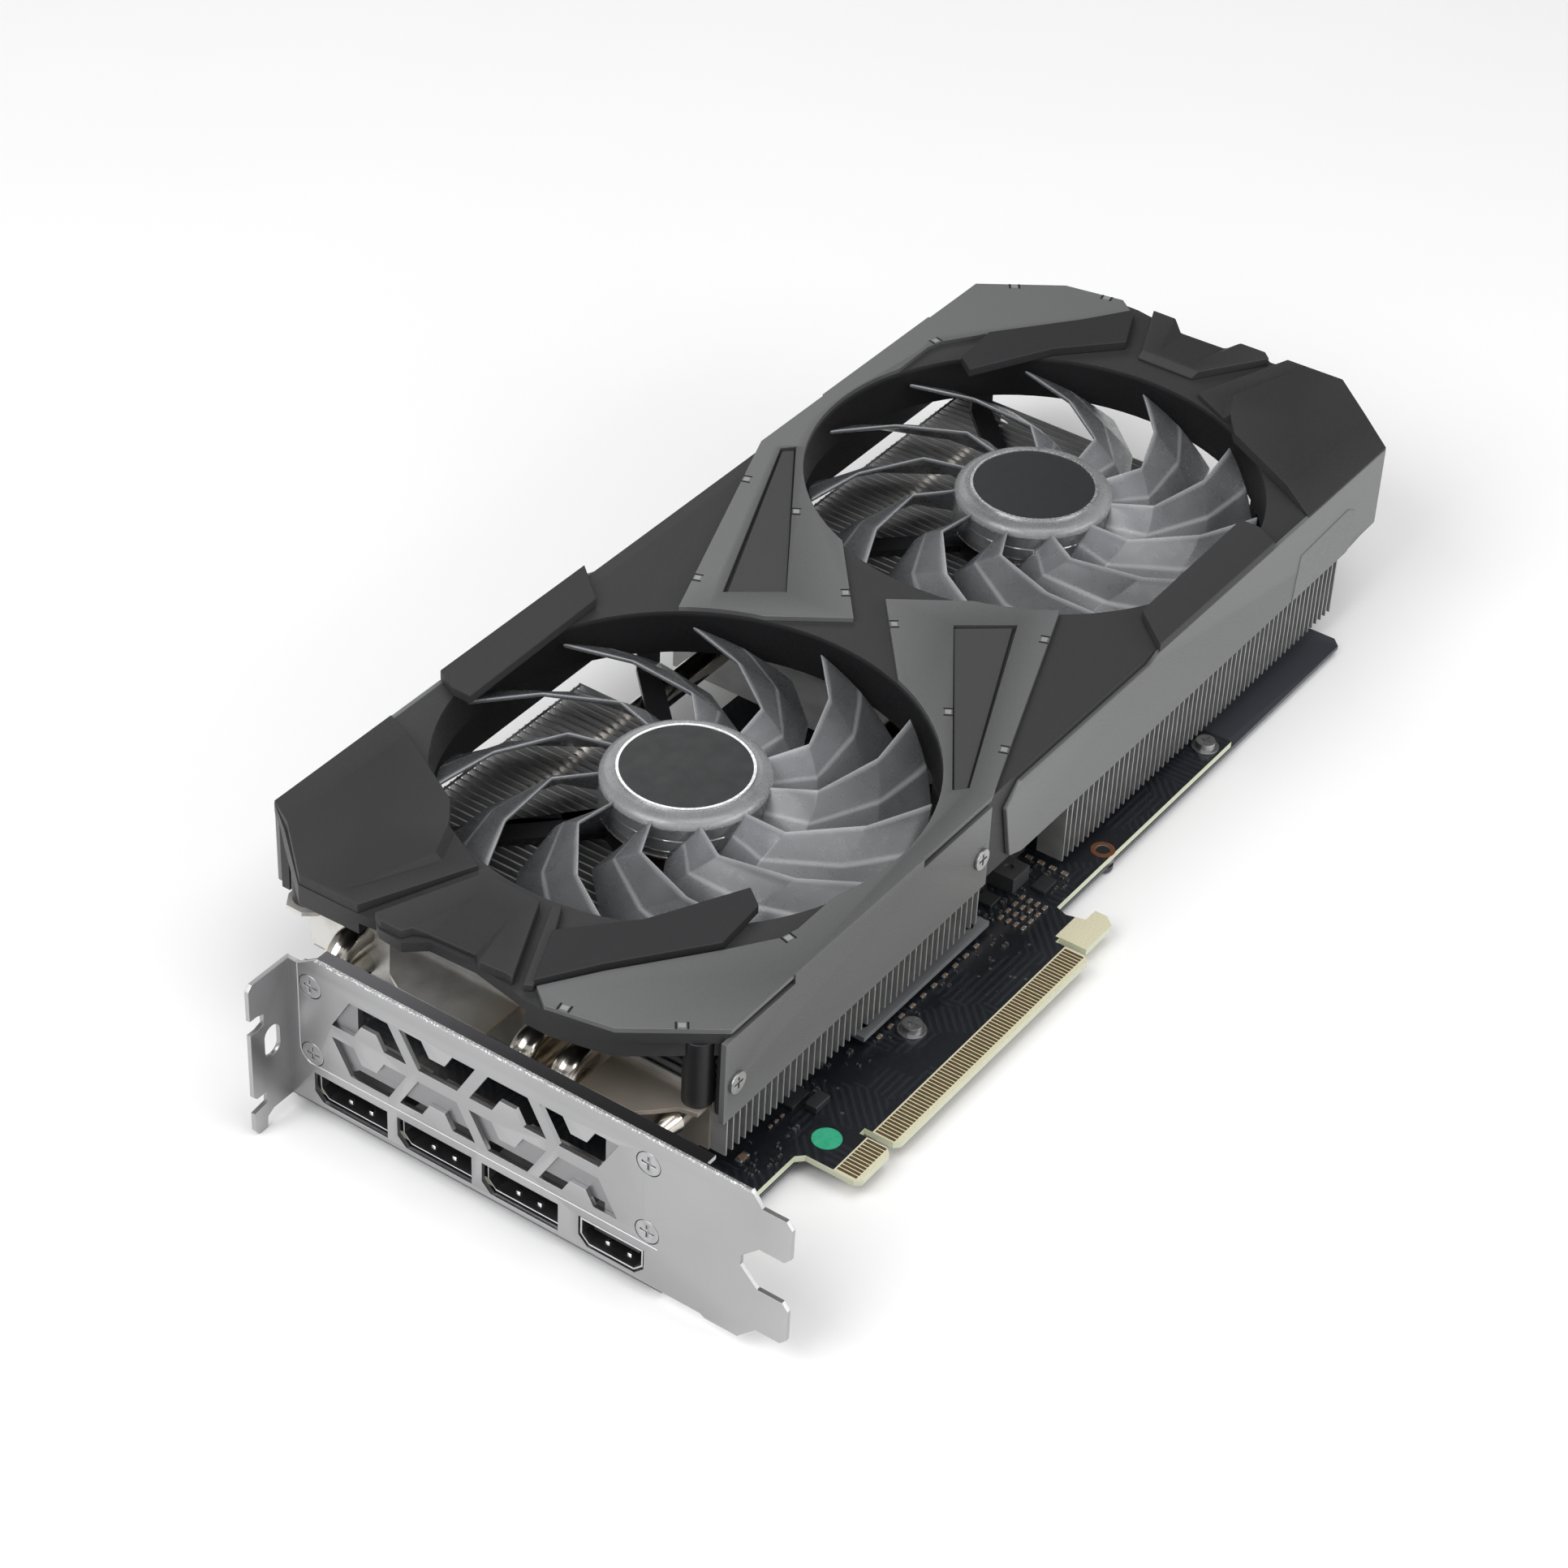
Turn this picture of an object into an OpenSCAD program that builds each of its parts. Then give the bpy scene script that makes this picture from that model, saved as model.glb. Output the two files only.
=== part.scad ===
// Graphics card with two fans. Millimetres. X runs along the card from the metal bracket to the tail,
// Y from the edge connector to the opposite long edge, Z from the board up to the fans.
// The origin is the key notch of the edge connector: finger tips at y = 0, board top face at z = 0.

/* [Circuit board] */
// Thickness of the board
pcb_t = 1.57; // [1.4:0.01:1.8]
// Left end of the board, behind the bracket
pcb_x0 = -55.5; // [-57:0.5:-50]
// Right end of the board
pcb_x1 = 156; // [150:1:190]
// Lower long edge of the board
pcb_y0 = 14.3; // [12:0.1:16]
// Upper long edge of the board
pcb_y1 = 111.2; // [106:0.1:112]
// Centre of the graphics chip along X
chip_x = 30; // [20:1:40]
// Centre of the graphics chip along Y
chip_y = 64; // [55:1:70]

/* [Bracket] */
// Outer face of the bracket
br_x = -58.7; // [-59.5:0.1:-58]
// Sheet thickness of the bracket
br_t = 1; // [0.8:0.1:1.2]
// Lower edge of the bracket plate
br_z0 = -1.3; // [-1.5:0.1:-1]
// Upper edge of the bracket plate
br_z1 = 36.5; // [34:0.5:38]
// Plane of the screw tab
tab_y = 104.9; // [103:0.1:106]
// Pitch of the DisplayPort sockets
dp_pitch = 21; // [20:0.5:22]

/* [Heatsink] */
// Pitch of the fins
fin_pitch = 2.1; // [1.8:0.1:2.6]
// Thickness of one fin
fin_t = 0.4; // [0.3:0.05:0.6]
// Outer edge of the fins on the connector side
fin_y0 = 20.5; // [20:0.5:22]
// Outer edge of the fins on the far side
fin_y1 = 124.4; // [120:0.1:126]
// Top of the fins
fin_z1 = 21.6; // [21.4:0.1:22]
// Underside of the fins over the parts of the board
fin_z0 = 6.5; // [6:0.5:7]
// Radius of a heat pipe
pipe_r = 3; // [2.6:0.1:3]

/* [Shroud] */
// Half of the shroud length
sh_half_x = 145; // [140:1:150]
// Half of the shroud width
sh_half_y = 57; // [56:0.5:58]
// Top of the moulded body
sh_z1 = 38.8; // [38:0.1:38.8]
// Lower edge of the side walls
sh_z0 = 17.3; // [17.2:0.1:18]
// Thickness of the metal trim
trim_t = 1.2; // [1:0.1:1.4]
// Top of the metal trim
trim_z = 40; // [39.8:0.1:40.4]
// Radius of the fan openings
duct_r = 52.6; // [52.2:0.1:53]

/* [Fans] */
// Distance from the card centre to each fan axis
fan_dx = 66.5; // [66:0.5:67]
// Radius over the blade tips
tip_r = 51; // [49:0.1:51.2]
// Radius of the hub
hub_r = 18; // [17:0.5:19]
// Number of blades
blades = 11; // [7:1:13]
// Height of the leading edges
blade_z1 = 36; // [34:0.5:36.5]
// Height of the trailing edges
blade_z0 = 26.2; // [26:0.2:28]
// Thickness of a blade
blade_t = 1.2; // [1:0.1:1.6]
// Radius of the fan shafts
shaft_r = 2; // [1.5:0.1:2.2]

/* [Hidden] */
$fn = 48;
mid = [100, 77];
fan1 = [mid[0] - fan_dx, mid[1]];
fan2 = [mid[0] + fan_dx, mid[1]];
bp_z1 = -2.4;
bp_t = 1;
dp_y = [89.5, 89.5 - dp_pitch, 89.5 - 2 * dp_pitch];
hdmi_y = 25.6;
port_z = 3.4;
fin_x0 = -29;
// pipes that leave the fins at the front, turn down and run back underneath
turned_y = [110.5, 63.5, 53.5];
turn_r = 4;
pipe_z = fin_z0 + pipe_r + 0.5;
upper_z = pipe_z + 2 * turn_r;
pipe_x1 = 206;
// single pipe with a closed, tapered end
end_y = 30;
end_z = 15.5;
plate_z = 19.2;
wall_t = 0.8;
post_at = [[-30.4, 26.6], [-30.6, 124]];
post_r = 3.2;
duct_z0 = 28;
base_z = 1.3;
bore_gap = 0.05;
arm_t = 1.6;
motor_z0 = fin_z1 + 0.4 + arm_t;

// the two halves of the shroud repeat after half a turn about the card's centre
module both() {
    children();
    translate([2 * mid[0], 2 * mid[1], 0]) rotate([0, 0, 180]) children();
}
module slab(z0, z1, pts) translate([0, 0, z0]) linear_extrude(z1 - z0) polygon(pts);
// an outline given as [y, z], extruded along +X from x
module wall(x, t, pts) translate([x, 0, 0]) rotate([90, 0, 90]) linear_extrude(t) polygon(pts);
module box(a, b) translate(a) cube([b[0] - a[0], b[1] - a[1], b[2] - a[2]]);
module rod(p, r, h) translate(p) cylinder(r = r, h = h);
module screw_head(r, h, slot = 0.5) {
    difference() {
        cylinder(r = r, h = h);
        translate([0, 0, h - slot / 2]) cube([r * 1.2, 0.6, slot + 0.01], center = true);
        translate([0, 0, h - slot / 2]) cube([0.6, r * 1.2, slot + 0.01], center = true);
    }
}

// ---- board ----
board_holes = [[30.9, 16.8], [105.1, 16.8], [150.6, 18], [-50, 18], [-50, 108], [31, 108], [105, 108],
    [150, 108]];
module circuit_board() {
    key = 0.95; depth = 7.9; c = 1.2;
    color("#16191c") difference() {
        slab(-pcb_t, 0, [[pcb_x0, pcb_y0], [-14.2, pcb_y0], [-12.6, pcb_y0 - 1.6], [-12.6, c],
            [-12.6 + c, 0],
            [-key - c, 0], [-key, c], [-key, depth], [key, depth], [key, c], [key + c, 0],
            [72.6 - c, 0], [72.6, c], [72.6, 8.5], [74.4, 8.5], [74.4, 2], [84.5, 2], [86.5, 4.3],
            [86.5, 7.2], [82.7, 7.3], [81.5, 11.5], [82.5, pcb_y0], [pcb_x1, pcb_y0],
            [pcb_x1, pcb_y1], [-50, pcb_y1], [pcb_x0, 105.5]]);
        for (h = board_holes) rod([h[0], h[1], -pcb_t - 1], 1.6, pcb_t + 2);
    }
}
module edge_contacts() {
    x = concat([for (i = [0:10]) -1.65 - i], [for (i = [0:70]) 1.65 + i]);
    color("#b9974f") for (p = x, z = [0, -pcb_t - 0.05])
        translate([p - 0.35, 1.1, z]) cube([0.7, 4.6, 0.05]);
}
module backplate() {
    color("#1a1d22") difference() {
        slab(bp_z1 - bp_t, bp_z1, [[-57.2, 14.6], [206.5, 14.6], [208.6, 16.7], [208.6, 108],
            [205, 111.6], [-52, 111.6], [-57.2, 106]]);
        for (h = board_holes) rod([h[0], h[1], bp_z1 - bp_t - 1], 1.6, bp_t + 2);
    }
}
module backplate_spacers() {
    color("#3a3d40") for (h = board_holes) difference() {
        rod([h[0], h[1], bp_z1], 2.6, -pcb_t - bp_z1);
        rod([h[0], h[1], bp_z1 - 1], 1.6, 3);
    }
}
module backplate_screws() {
    color("#2b2d30") for (h = [for (i = [1, 3, 4, 5, 6, 7]) board_holes[i]])
        translate([h[0], h[1], bp_z1 - bp_t]) rotate([180, 0, 0]) {
            screw_head(2.6, 1.2);
            translate([0, 0, -pcb_t - bp_t - 0.83]) cylinder(r = 1.5, h = pcb_t + bp_t + 0.83);
        }
}
module board_screws() {
    color("#c9cbcc") for (h = [board_holes[0], board_holes[2]]) translate([h[0], h[1], 0]) {
        rod([0, 0, 0], 3.1, 0.4);
        translate([0, 0, 0.4]) screw_head(2.2, 1.5);
        rod([0, 0, bp_z1], 1.5, -bp_z1);
    }
}

// ---- bracket and sockets ----
function shift_y(pts, dy) = [for (q = pts) [q[0] + dy, q[1]]];
// a vent is one half of a hexagonal ring, standing up (1) or hanging down (-1) from its straight side
function half_ring(y, z, up) = [for (q = [[9.3, 0], [4.7, 8], [-4.8, 8], [-9.3, 0], [-3.8, 0],
    [-1.9, 3.4], [1.9, 3.4], [3.8, 0]]) [y + q[0], z + up * q[1]]];
vents = [for (d = [0, 34]) each [half_ring(84.4 - d, 22.1, 1), half_ring(67.5 - d, 30.2, -1),
    half_ring(84.5 - d, 19, -1), half_ring(67.6 - d, 11.2, 1)]];
bracket_holes = [[99, 29], [99, 11.6], [17.3, 29.6], [17.3, 12.2]];
module dp_shape(y, w, h, k) polygon([[y - w / 2, port_z - h / 2], [y + w / 2 - k, port_z - h / 2],
    [y + w / 2, port_z - h / 2 + k], [y + w / 2, port_z + h / 2], [y - w / 2, port_z + h / 2]]);
module hdmi_shape(w, h, k) polygon([[hdmi_y - w / 2 + k, port_z - h / 2], [hdmi_y + w / 2 - k,
    port_z - h / 2],
    [hdmi_y + w / 2, port_z - h / 2 + k], [hdmi_y + w / 2, port_z + h / 2],
    [hdmi_y - w / 2, port_z + h / 2], [hdmi_y - w / 2, port_z - h / 2 + k]]);
module along_x(x, t) translate([x, 0, 0]) rotate([90, 0, 90]) linear_extrude(t) children();
module io_bracket() {
    color("#c4c5c6") difference() {
        union() {
            wall(br_x, br_t, [[tab_y + 0.5, br_z0], [tab_y + 0.5, 33.5], [102, 33.5], [97.5, br_z1],
                [-5.7, br_z1], [-8.3, 33.2], [-13.6, 33.2], [-15, 31.6], [-15, 24.4], [-13.6, 22.9],
                    [-8, 22.9],
                [-4, 19], [-4, 16.6], [-8, 12.6], [-13.6, 12.6], [-15, 11], [-15, 3.6], [-13.6, 2.1],
                [-8, 2.1], [-4, -2], [3.4, -2], [4.6, br_z0]]);
            // lip along the top edge
            box([br_x, 4.8, br_z1 - br_t], [br_x + 3.6, 97.5, br_z1]);
            // tab for the chassis screws, bent outwards
            translate([0, tab_y + 0.5, 0]) rotate([90, 0, 0]) linear_extrude(br_t) polygon([
                [br_x + br_t, 33.5], [-69, 33.5], [-70.2, 32.3], [-70.2, 24.9], [-68.2, 24.9], [-66.3,
                    24.3],
                [-66.3, 21.8], [-68.2, 21.2], [-70.2, 21.2], [-70.2, 5.2], [-69.2, 4.2], [-66.4, 4.2],
                [-66.4, 1.4], [-70.2, 0.8], [-70.2, -3.6], [-69.2, -5], [-66.6, -5], [-66.4, -2.4],
                [-64.6, -1.3], [br_x + br_t, br_z0]]);
        }
        for (v = vents) wall(br_x - 1, br_t + 2, v);
        for (y = dp_y) along_x(br_x - 1, br_t + 2) dp_shape(y, 18.5, 7, 2.2);
        along_x(br_x - 1, br_t + 2) hdmi_shape(15.5, 7, 2.2);
        for (h = bracket_holes) translate([br_x - 1, h[0], h[1]]) rotate([0, 90, 0]) {
            cylinder(r = 1.65, h = 9);
            // round recess that takes the screw head
            cylinder(r = 2.85, h = 1.8);
        }
        // oval hole of the tab
        translate([-64.1, tab_y + 1, 16]) rotate([90, 0, 0]) {
            translate([0, -1.6, 0]) cylinder(r = 2.2, h = 3);
            translate([0, 1.6, 0]) cylinder(r = 2.2, h = 3);
            translate([-2.2, -1.6, 0]) cube([4.4, 3.2, 3]);
        }
    }
}
module bracket_stay() {
    x = br_x + br_t;
    color("#8b8d8e") difference() {
        union() {
            // one sheet behind the bracket: two uprights and the strip that joins them
            wall(x, 1.5, [[14.6, 0], [17.2, 0], [17.2, 8.4], [27.9, 8.4], [27.9, 12.8], [87.8, 12.8],
                [94, 8], [99.6, 8], [99.6, 0], [104, 0], [104, 31], [102, 33], [87.8, 33],
                [87.8, 20.6], [27.9, 20.6], [27.9, 33], [12.6, 33], [12.6, 8.4], [14.6, 8.4]]);
            box([x, 99.6, 0], [x + 10, 104, 1.2]);
            box([x, 14.6, 0], [x + 4, 17.2, 1.2]);
        }
        for (h = bracket_holes) translate([x - 1, h[0], h[1]]) rotate([0, 90, 0]) cylinder(r = 1.25, h = 9);
    }
}
module bracket_screws() {
    color("#c9cacb") for (h = bracket_holes) translate([br_x + 0.8, h[0], h[1]]) rotate([0, -90, 0]) {
        screw_head(2.7, 0.8);
        translate([0, 0, -1.7]) cylinder(r = 1.2, h = 1.8);
    }
}
module displayport_shells() {
    color("#9b9c9d") for (y = dp_y) {
        difference() {
            along_x(br_x + br_t + 0.1, 14) dp_shape(y, 17.4, 6.2, 2);
            along_x(br_x, 14) dp_shape(y, 16.8, 5.6, 1.8);
        }
        // foot that stands the shell on the board
        box([br_x + 6, y - 5, 0], [br_x + 9, y + 5, port_z - 3.1]);
    }
}
module displayport_inserts() {
    color("#1b1b1c") for (y = dp_y) {
        along_x(br_x + 10, 4) dp_shape(y, 16.8, 5.6, 1.8);
        box([br_x + 2.4, y - 6.5, port_z + 0.4], [br_x + 10.5, y + 6.5, port_z + 1.5]);
    }
}
module hdmi_shell() {
    color("#b9babb") {
        difference() {
            along_x(br_x + 0.2, 14) hdmi_shape(14.8, 6.2, 2);
            along_x(br_x - 1, 14) hdmi_shape(14, 5.4, 1.8);
        }
        box([br_x + 6, hdmi_y - 4.5, 0], [br_x + 9, hdmi_y + 4.5, port_z - 3.1]);
    }
}
module hdmi_insert() {
    color("#1b1b1c") {
        along_x(br_x + 9.5, 3.5) hdmi_shape(14, 5.4, 1.8);
        box([br_x + 2, hdmi_y - 5.5, port_z - 0.2], [br_x + 10, hdmi_y + 5.5, port_z + 1]);
    }
}

// ---- parts on the board ----
module graphics_chip() {
    color("#2f4a37") box([chip_x - 17.5, chip_y - 17.5, 0], [chip_x + 17.5, chip_y + 17.5, 1.2]);
    color("#5a5f66") box([chip_x - 11, chip_y - 11, 1.2], [chip_x + 11, chip_y + 11, 2]);
}
memory_at = concat([for (i = [0:2]) [chip_x - 30, chip_y - 20 + i * 18, 0]],
    [for (i = [0:2]) [chip_x + 24, chip_y - 20 + i * 18, 0]],
    [for (i = [0:1]) [chip_x - 14 + i * 16, chip_y + 27, 1]]);
module memory_chips() {
    color("#202224") for (m = memory_at) box([m[0], m[1], 0], [m[0] + (m[2] ? 14 : 12),
        m[1] + (m[2] ? 12 : 14), 1.1]);
}
module thermal_pads() {
    color("#8f959c") for (m = memory_at) box([m[0] + 1, m[1] + 1, 1.1], [m[0] + 11, m[1] + 11,
        base_z + 1.2]);
}
inductor_at = concat([for (i = [0:6]) [112, 34 + i * 10.5]], [[80, 24], [88, 30]]);
module power_inductors() {
    color("#2a2b2d") for (q = inductor_at) difference() {
        box([q[0], q[1], 0], [q[0] + 6.5, q[1] + 6.5, 4]);
        rod([q[0] + 3.25, q[1] + 3.25, 3.6], 1, 1);
    }
}
module power_stages() {
    color("#1d1f21") {
        for (i = [0:5]) box([122, 34.5 + i * 10.5, 0], [128, 39.5 + i * 10.5, 0.9]);
        box([-4, 22, 0], [2, 26, 1]);
        box([1, 27.5, 0], [5, 31.5, 1.2]);
        box([84, 18.5, 0], [89, 22, 1]);
        box([73, 25, 0], [77, 29, 1]);
    }
}
module capacitors() {
    color("#3d3f42") {
        for (i = [0:7]) box([134, 32 + i * 8.2, 0], [141, 36.3 + i * 8.2, 2.8]);
        for (i = [0:3]) box([67, 34 + i * 9, 0], [71.3, 41 + i * 9, 2.8]);
        box([-2, 17.6, 0], [3, 20.6, 1.9]);
    }
}
module small_components() {
    color("#8a7a66") {
        for (i = [0:3], j = [0:3]) box([71 + i * 2.8, 15.6 + j * 1.9, 0], [72.6 + i * 2.8,
            16.4 + j * 1.9, 0.6]);
        for (i = [0:9]) box([24 + i * 4, 20.3, 0], [25.6 + i * 4, 21.1, 0.6]);
        for (i = [0:2]) box([-11 + i * 2, 22.5, 0], [-9.9 + i * 2, 23.1, 0.5]);
        box([-22.5, 21.2, 0], [-19.5, 22.8, 0.6]);
        for (i = [0:3]) box([92, 18 + i * 3, 0], [93.2, 19.6 + i * 3, 0.6]);
    }
}
module power_socket() {
    color("#161718") difference() {
        box([125, 96.5, 0], [144.6, 111.4, 6.2]);
        for (i = [0:3]) box([126.2 + i * 4.5, 99.5, 1.2], [129.9 + i * 4.5, 112, 5]);
    }
}
module inspection_dot() {
    color("#12a05c") rod([-6.2, 12.1, 0], 3.1, 0.12);
}

// ---- heatsink ----
module base_frame() {
    color("#4a4d50") difference() {
        box([20.5, 21.6, base_z], [67, 27.5, base_z + 1.2]);
        rod([24, 24.5, 0], 1.3, 5);
        rod([63, 24.5, 0], 1.3, 5);
    }
    color("#4a4d50") for (x = [21, 62]) difference() {
        box([x, 27.5, base_z], [x + 4.5, 42, base_z + 1.2]);
        rod([x + 2.2, 33, 0], 1.1, 5);
    }
}
module cold_plate() {
    color("#b7b3aa") difference() {
        union() {
            box([-2, 34.5, 2.5], [65.5, 106, fin_z0]);
            box([chip_x - 14, chip_y - 14, 2], [chip_x + 14, chip_y + 14, 2.5]);
        }
        for (x = [2, 54], y = [38.5, 89]) rod([x, y, 0], 1.5, 10);
    }
}
module tube_x(x0, x1, y, z, r = pipe_r) translate([x0, y, z]) rotate([0, 90, 0]) cylinder(r = r,
    h = x1 - x0);
module pipe_turn(y)
    translate([-34, y, pipe_z + turn_r]) rotate([90, 0, 0]) rotate([0, 0, 90])
        rotate_extrude(angle = 180, $fn = 96) translate([turn_r, 0]) circle(r = pipe_r);
module heat_pipes() {
    color("#c6bfb2") {
        for (y = turned_y) {
            tube_x(-34, pipe_x1, y, upper_z);
            tube_x(-34, 60, y, pipe_z);
            pipe_turn(y);
        }
        tube_x(-34, pipe_x1, end_y, end_z);
        translate([-34, end_y, end_z]) rotate([0, -90, 0]) cylinder(r1 = pipe_r, r2 = 1.6, h = 7);
    }
}
// everything a sheet must leave free for the pipes
module pipe_holes(x, lower = true) {
    for (y = turned_y) {
        tube_x(x - 1, x + 3, y, upper_z);
        if (lower) tube_x(x - 1, x + 3, y, pipe_z);
    }
    tube_x(x - 1, x + 3, end_y, end_z);
}
module fin_set(x0, x1, z_edge, lower) {
    n = floor((x1 - x0 - fin_t) / fin_pitch);
    for (i = [0:n]) translate([x0 + i * fin_pitch, 0, 0]) difference() {
        wall(0, fin_t, [[fin_y0, z_edge], [fin_y0 + 6.5, z_edge], [fin_y0 + 6.5, fin_z0], [fin_y1, fin_z0],
            [fin_y1, fin_z1], [fin_y0 + 3.2, fin_z1], [fin_y0 + 3.2, sh_z0 - 0.2], [fin_y0, sh_z0 - 0.2]]);
        pipe_holes(0, lower && x0 + i * fin_pitch < 60);
    }
    // folded edges that hold the fins at their pitch
    for (q = [[fin_y0 + 0.1, sh_z0 - 0.7], [fin_y1 - 0.5, fin_z1 - 0.5]])
        box([x0, q[0], q[1]], [x0 + n * fin_pitch + fin_t, q[0] + 0.4, q[1] + 0.4]);
}
module front_fins() {
    color("#9a9da0") difference() {
        fin_set(fin_x0, 61.5, fin_z0 + 1, true);
        // room for the posts
        for (q = post_at) rod([q[0], q[1], plate_z + 0.5], 3.5, 5);
    }
}
module rear_fins() { color("#9a9da0") fin_set(94, 213.5, 1.9, false); }
module fin_corner_plates() {
    // nickel end sheet of the front stack, bent forward along its top, with a lug under each post
    xw = fin_x0 - wall_t;
    color("#b9b4a8") difference() {
        union() {
            box([xw, 24, fin_z0 + 1.3], [fin_x0, fin_y1, plate_z + 1]);
            slab(plate_z, plate_z + 1, [[xw, 24], [-33.8, 24], [-34.8, 28], [-38.5, 31.5], [-40.8, 34],
                [-40.8, 47], [xw, 47]]);
            slab(plate_z, plate_z + 1, [[xw, 70], [-40.8, 70], [-40.8, 92], [-38.4, 96.2], [xw, 103.3]]);
            slab(plate_z, plate_z + 1, [[xw, 118.5], [-33, 119.5], [-35, 122], [-35, 126], [-32, 128],
                [xw + 2, 128], [xw + 2, fin_y1], [xw, fin_y1]]);
        }
        for (q = post_at) rod([q[0], q[1], plate_z - 1], 1, 4);
        pipe_holes(xw);
    }
}

// ---- shroud ----
sh_outline = [[-28.5, 20], [-42, 38], [-45, 51], [-45, 57], [-42.5, 71], [-43, 82], [-46.5, 86], [-46,
    92], [-44.5, 94],
    [-45, 98], [-45.4, 113], [-34, 126.5], [-28.5, 134]];
sh_ring = concat(sh_outline, [for (q = sh_outline) [2 * mid[0] - q[0], 2 * mid[1] - q[1]]]);
module shroud_body() {
    color("#3b3c3e") difference() {
        union() {
            slab(sh_z1 - 2.4, sh_z1, sh_ring);
            // side walls
            both() box([-29.2, mid[1] - sh_half_y + trim_t, sh_z0], [228.5,
                mid[1] - sh_half_y + trim_t + 2, sh_z1 - 2]);
            // skirt along the front and rear corners
            both() slab(sh_z1 - 6, sh_z1 - 2, [[-28.5, 21.2], [-42, 38], [-45, 51], [-45, 57], [-43, 57],
                [-43, 51.5], [-40.2, 38.8], [-27.3, 22.4]]);
            both() slab(sh_z1 - 5, sh_z1 - 2, [[-28.5, 132.8], [-34, 126.5], [-45.4, 113], [-45, 98],
                [-43, 98],
                [-43.4, 112.2], [-32.5, 125], [-27, 131.5]]);
            for (f = [fan1, fan2]) translate([f[0], f[1], duct_z0]) cylinder(r = duct_r + 1.5,
                h = sh_z1 - 1 - duct_z0, $fn = 96);
        }
        for (f = [fan1, fan2]) translate([f[0], f[1], 10]) cylinder(r = duct_r, h = 40, $fn = 96);
        // the duct stays inside the side walls
        both() box([-60, 10, 20], [260, mid[1] - sh_half_y + trim_t, sh_z1 - 2.4]);
        // rebate that the metal side panels lie in, and their screw holes
        both() box([-31, 15, 10], [228.7, mid[1] - sh_half_y + trim_t, 45]);
        both() for (x = [-27.3, 58]) translate([x, 25, 26]) rotate([90, 0, 0]) cylinder(r = 1.2, h = 6);
        // pockets for the tops of the posts
        for (q = post_at) rod([q[0], q[1], plate_z], post_r + 0.1, sh_z1 - 2.4 - plate_z);
    }
}
module shroud_posts() {
    color("#232425") for (q = post_at) difference() {
        rod([q[0], q[1], plate_z + 1], post_r, sh_z1 - 2.4 - plate_z - 1);
        rod([q[0], q[1], plate_z], 1, 8);
    }
}
module corner_covers() {
    color("#414244") both() difference() {
        slab(sh_z1, sh_z1 + 2.6, [[-45, 98], [-45.4, 113], [-34, 126.5], [-28.5, 134], [8, 134], [-8.5,
            104.5], [-14, 100.5],
            [-20, 88]]);
        // the outer edges fall away
        translate([-50, 127, sh_z1 + 2.6]) rotate([-19, 0, 0]) cube([80, 30, 20]);
    }
}
module pointed_bars() {
    color("#37383a") both()
        slab(sh_z1, sh_z1 + 2.3, [[-41.5, 57.8], [-29.5, 50.2], [-10.5, 36], [3, 37], [6.5, 41.5],
            [-14, 52], [-27.5, 64]]);
}
module middle_plates() {
    // raised wedges between the covers: the front and the rear one differ a little
    color("#3c3d3f") {
        slab(sh_z1, sh_z1 + 2.2, [[-43.3, 59.8], [-42.5, 63.5], [-43.3, 67.5], [-42.3, 71.3], [-42.5, 82.3],
            [-45.9, 86.3], [-45.9, 91.8], [-44.3, 94.3], [-22, 84.7], [-21, 69.6]]);
        slab(sh_z1, sh_z1 + 2.2, [[244.4, 92.7], [244.5, 86.2], [240.8, 82.4], [241.3, 70.8], [244.7, 68.3],
            [244.9, 61.7], [243, 59.5], [225.5, 70.6], [225.4, 85.1]]);
    }
}
module edge_strips() {
    color("#48494b") both()
        slab(sh_z1, sh_z1 + 2.4, [[126.6, 20], [176, 20], [179, 25.7], [179, 30.5], [135, 29.7]]);
}
trim_top = [[105.1, 76.3], [127.9, 45.4], [60, 20], [-28.5, 20], [-42, 38], [-45, 52.5], [-41.5, 57],
    [-30, 49.5], [-11, 35.2],
    [-1.4, 28.7], [3, 27.6], [45.7, 27.6]];
trim_window = [[106.2, 59.4], [114.8, 48.6], [60.7, 25.6], [58, 28]];
module trim_sheets() {
    color("#6b6c6e") both() {
        difference() {
            union() {
                slab(trim_z - trim_t, trim_z, trim_top);
                difference() {
                    box([-31, 20, sh_z0], [61, 20 + trim_t, trim_z]);
                    box([-32, 19, trim_z - 2.4], [-8.5, 22, trim_z + 1]);
                    box([36, 19, trim_z - 2.4], [62, 22, trim_z + 1]);
                }
            }
            slab(trim_z - 3, trim_z + 1, trim_window);
            // slots beside the bend
            box([-32, 19, trim_z - 2.4], [-8.5, 20.4, trim_z + 1]);
            box([36, 19, trim_z - 2.4], [62, 20.4, trim_z + 1]);
            for (f = [fan1, fan2]) translate([f[0], f[1], 30]) cylinder(r = duct_r, h = 20, $fn = 96);
            for (x = [-27.3, 58]) translate([x, 25, 26]) rotate([90, 0, 0]) cylinder(r = 1.4, h = 9);
        }
    }
}
module side_covers() {
    color("#626365") both() translate([0, 20 + trim_t, 0]) rotate([90, 0, 0]) linear_extrude(trim_t)
        polygon([[70, 19], [75, sh_z0], [213, sh_z0], [222, 18.3], [228.4, 18.5], [228.5, sh_z1], [127,
            sh_z1], [123, 37.5],
            [72, 37.5], [67, 33]]);
}
module triangle_inserts() {
    color("#303133") both() slab(sh_z1, sh_z1 + 0.8, [[105.6, 59], [113.8, 49.1], [61, 26.2], [58.9,
        28.2]]);
}
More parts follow.
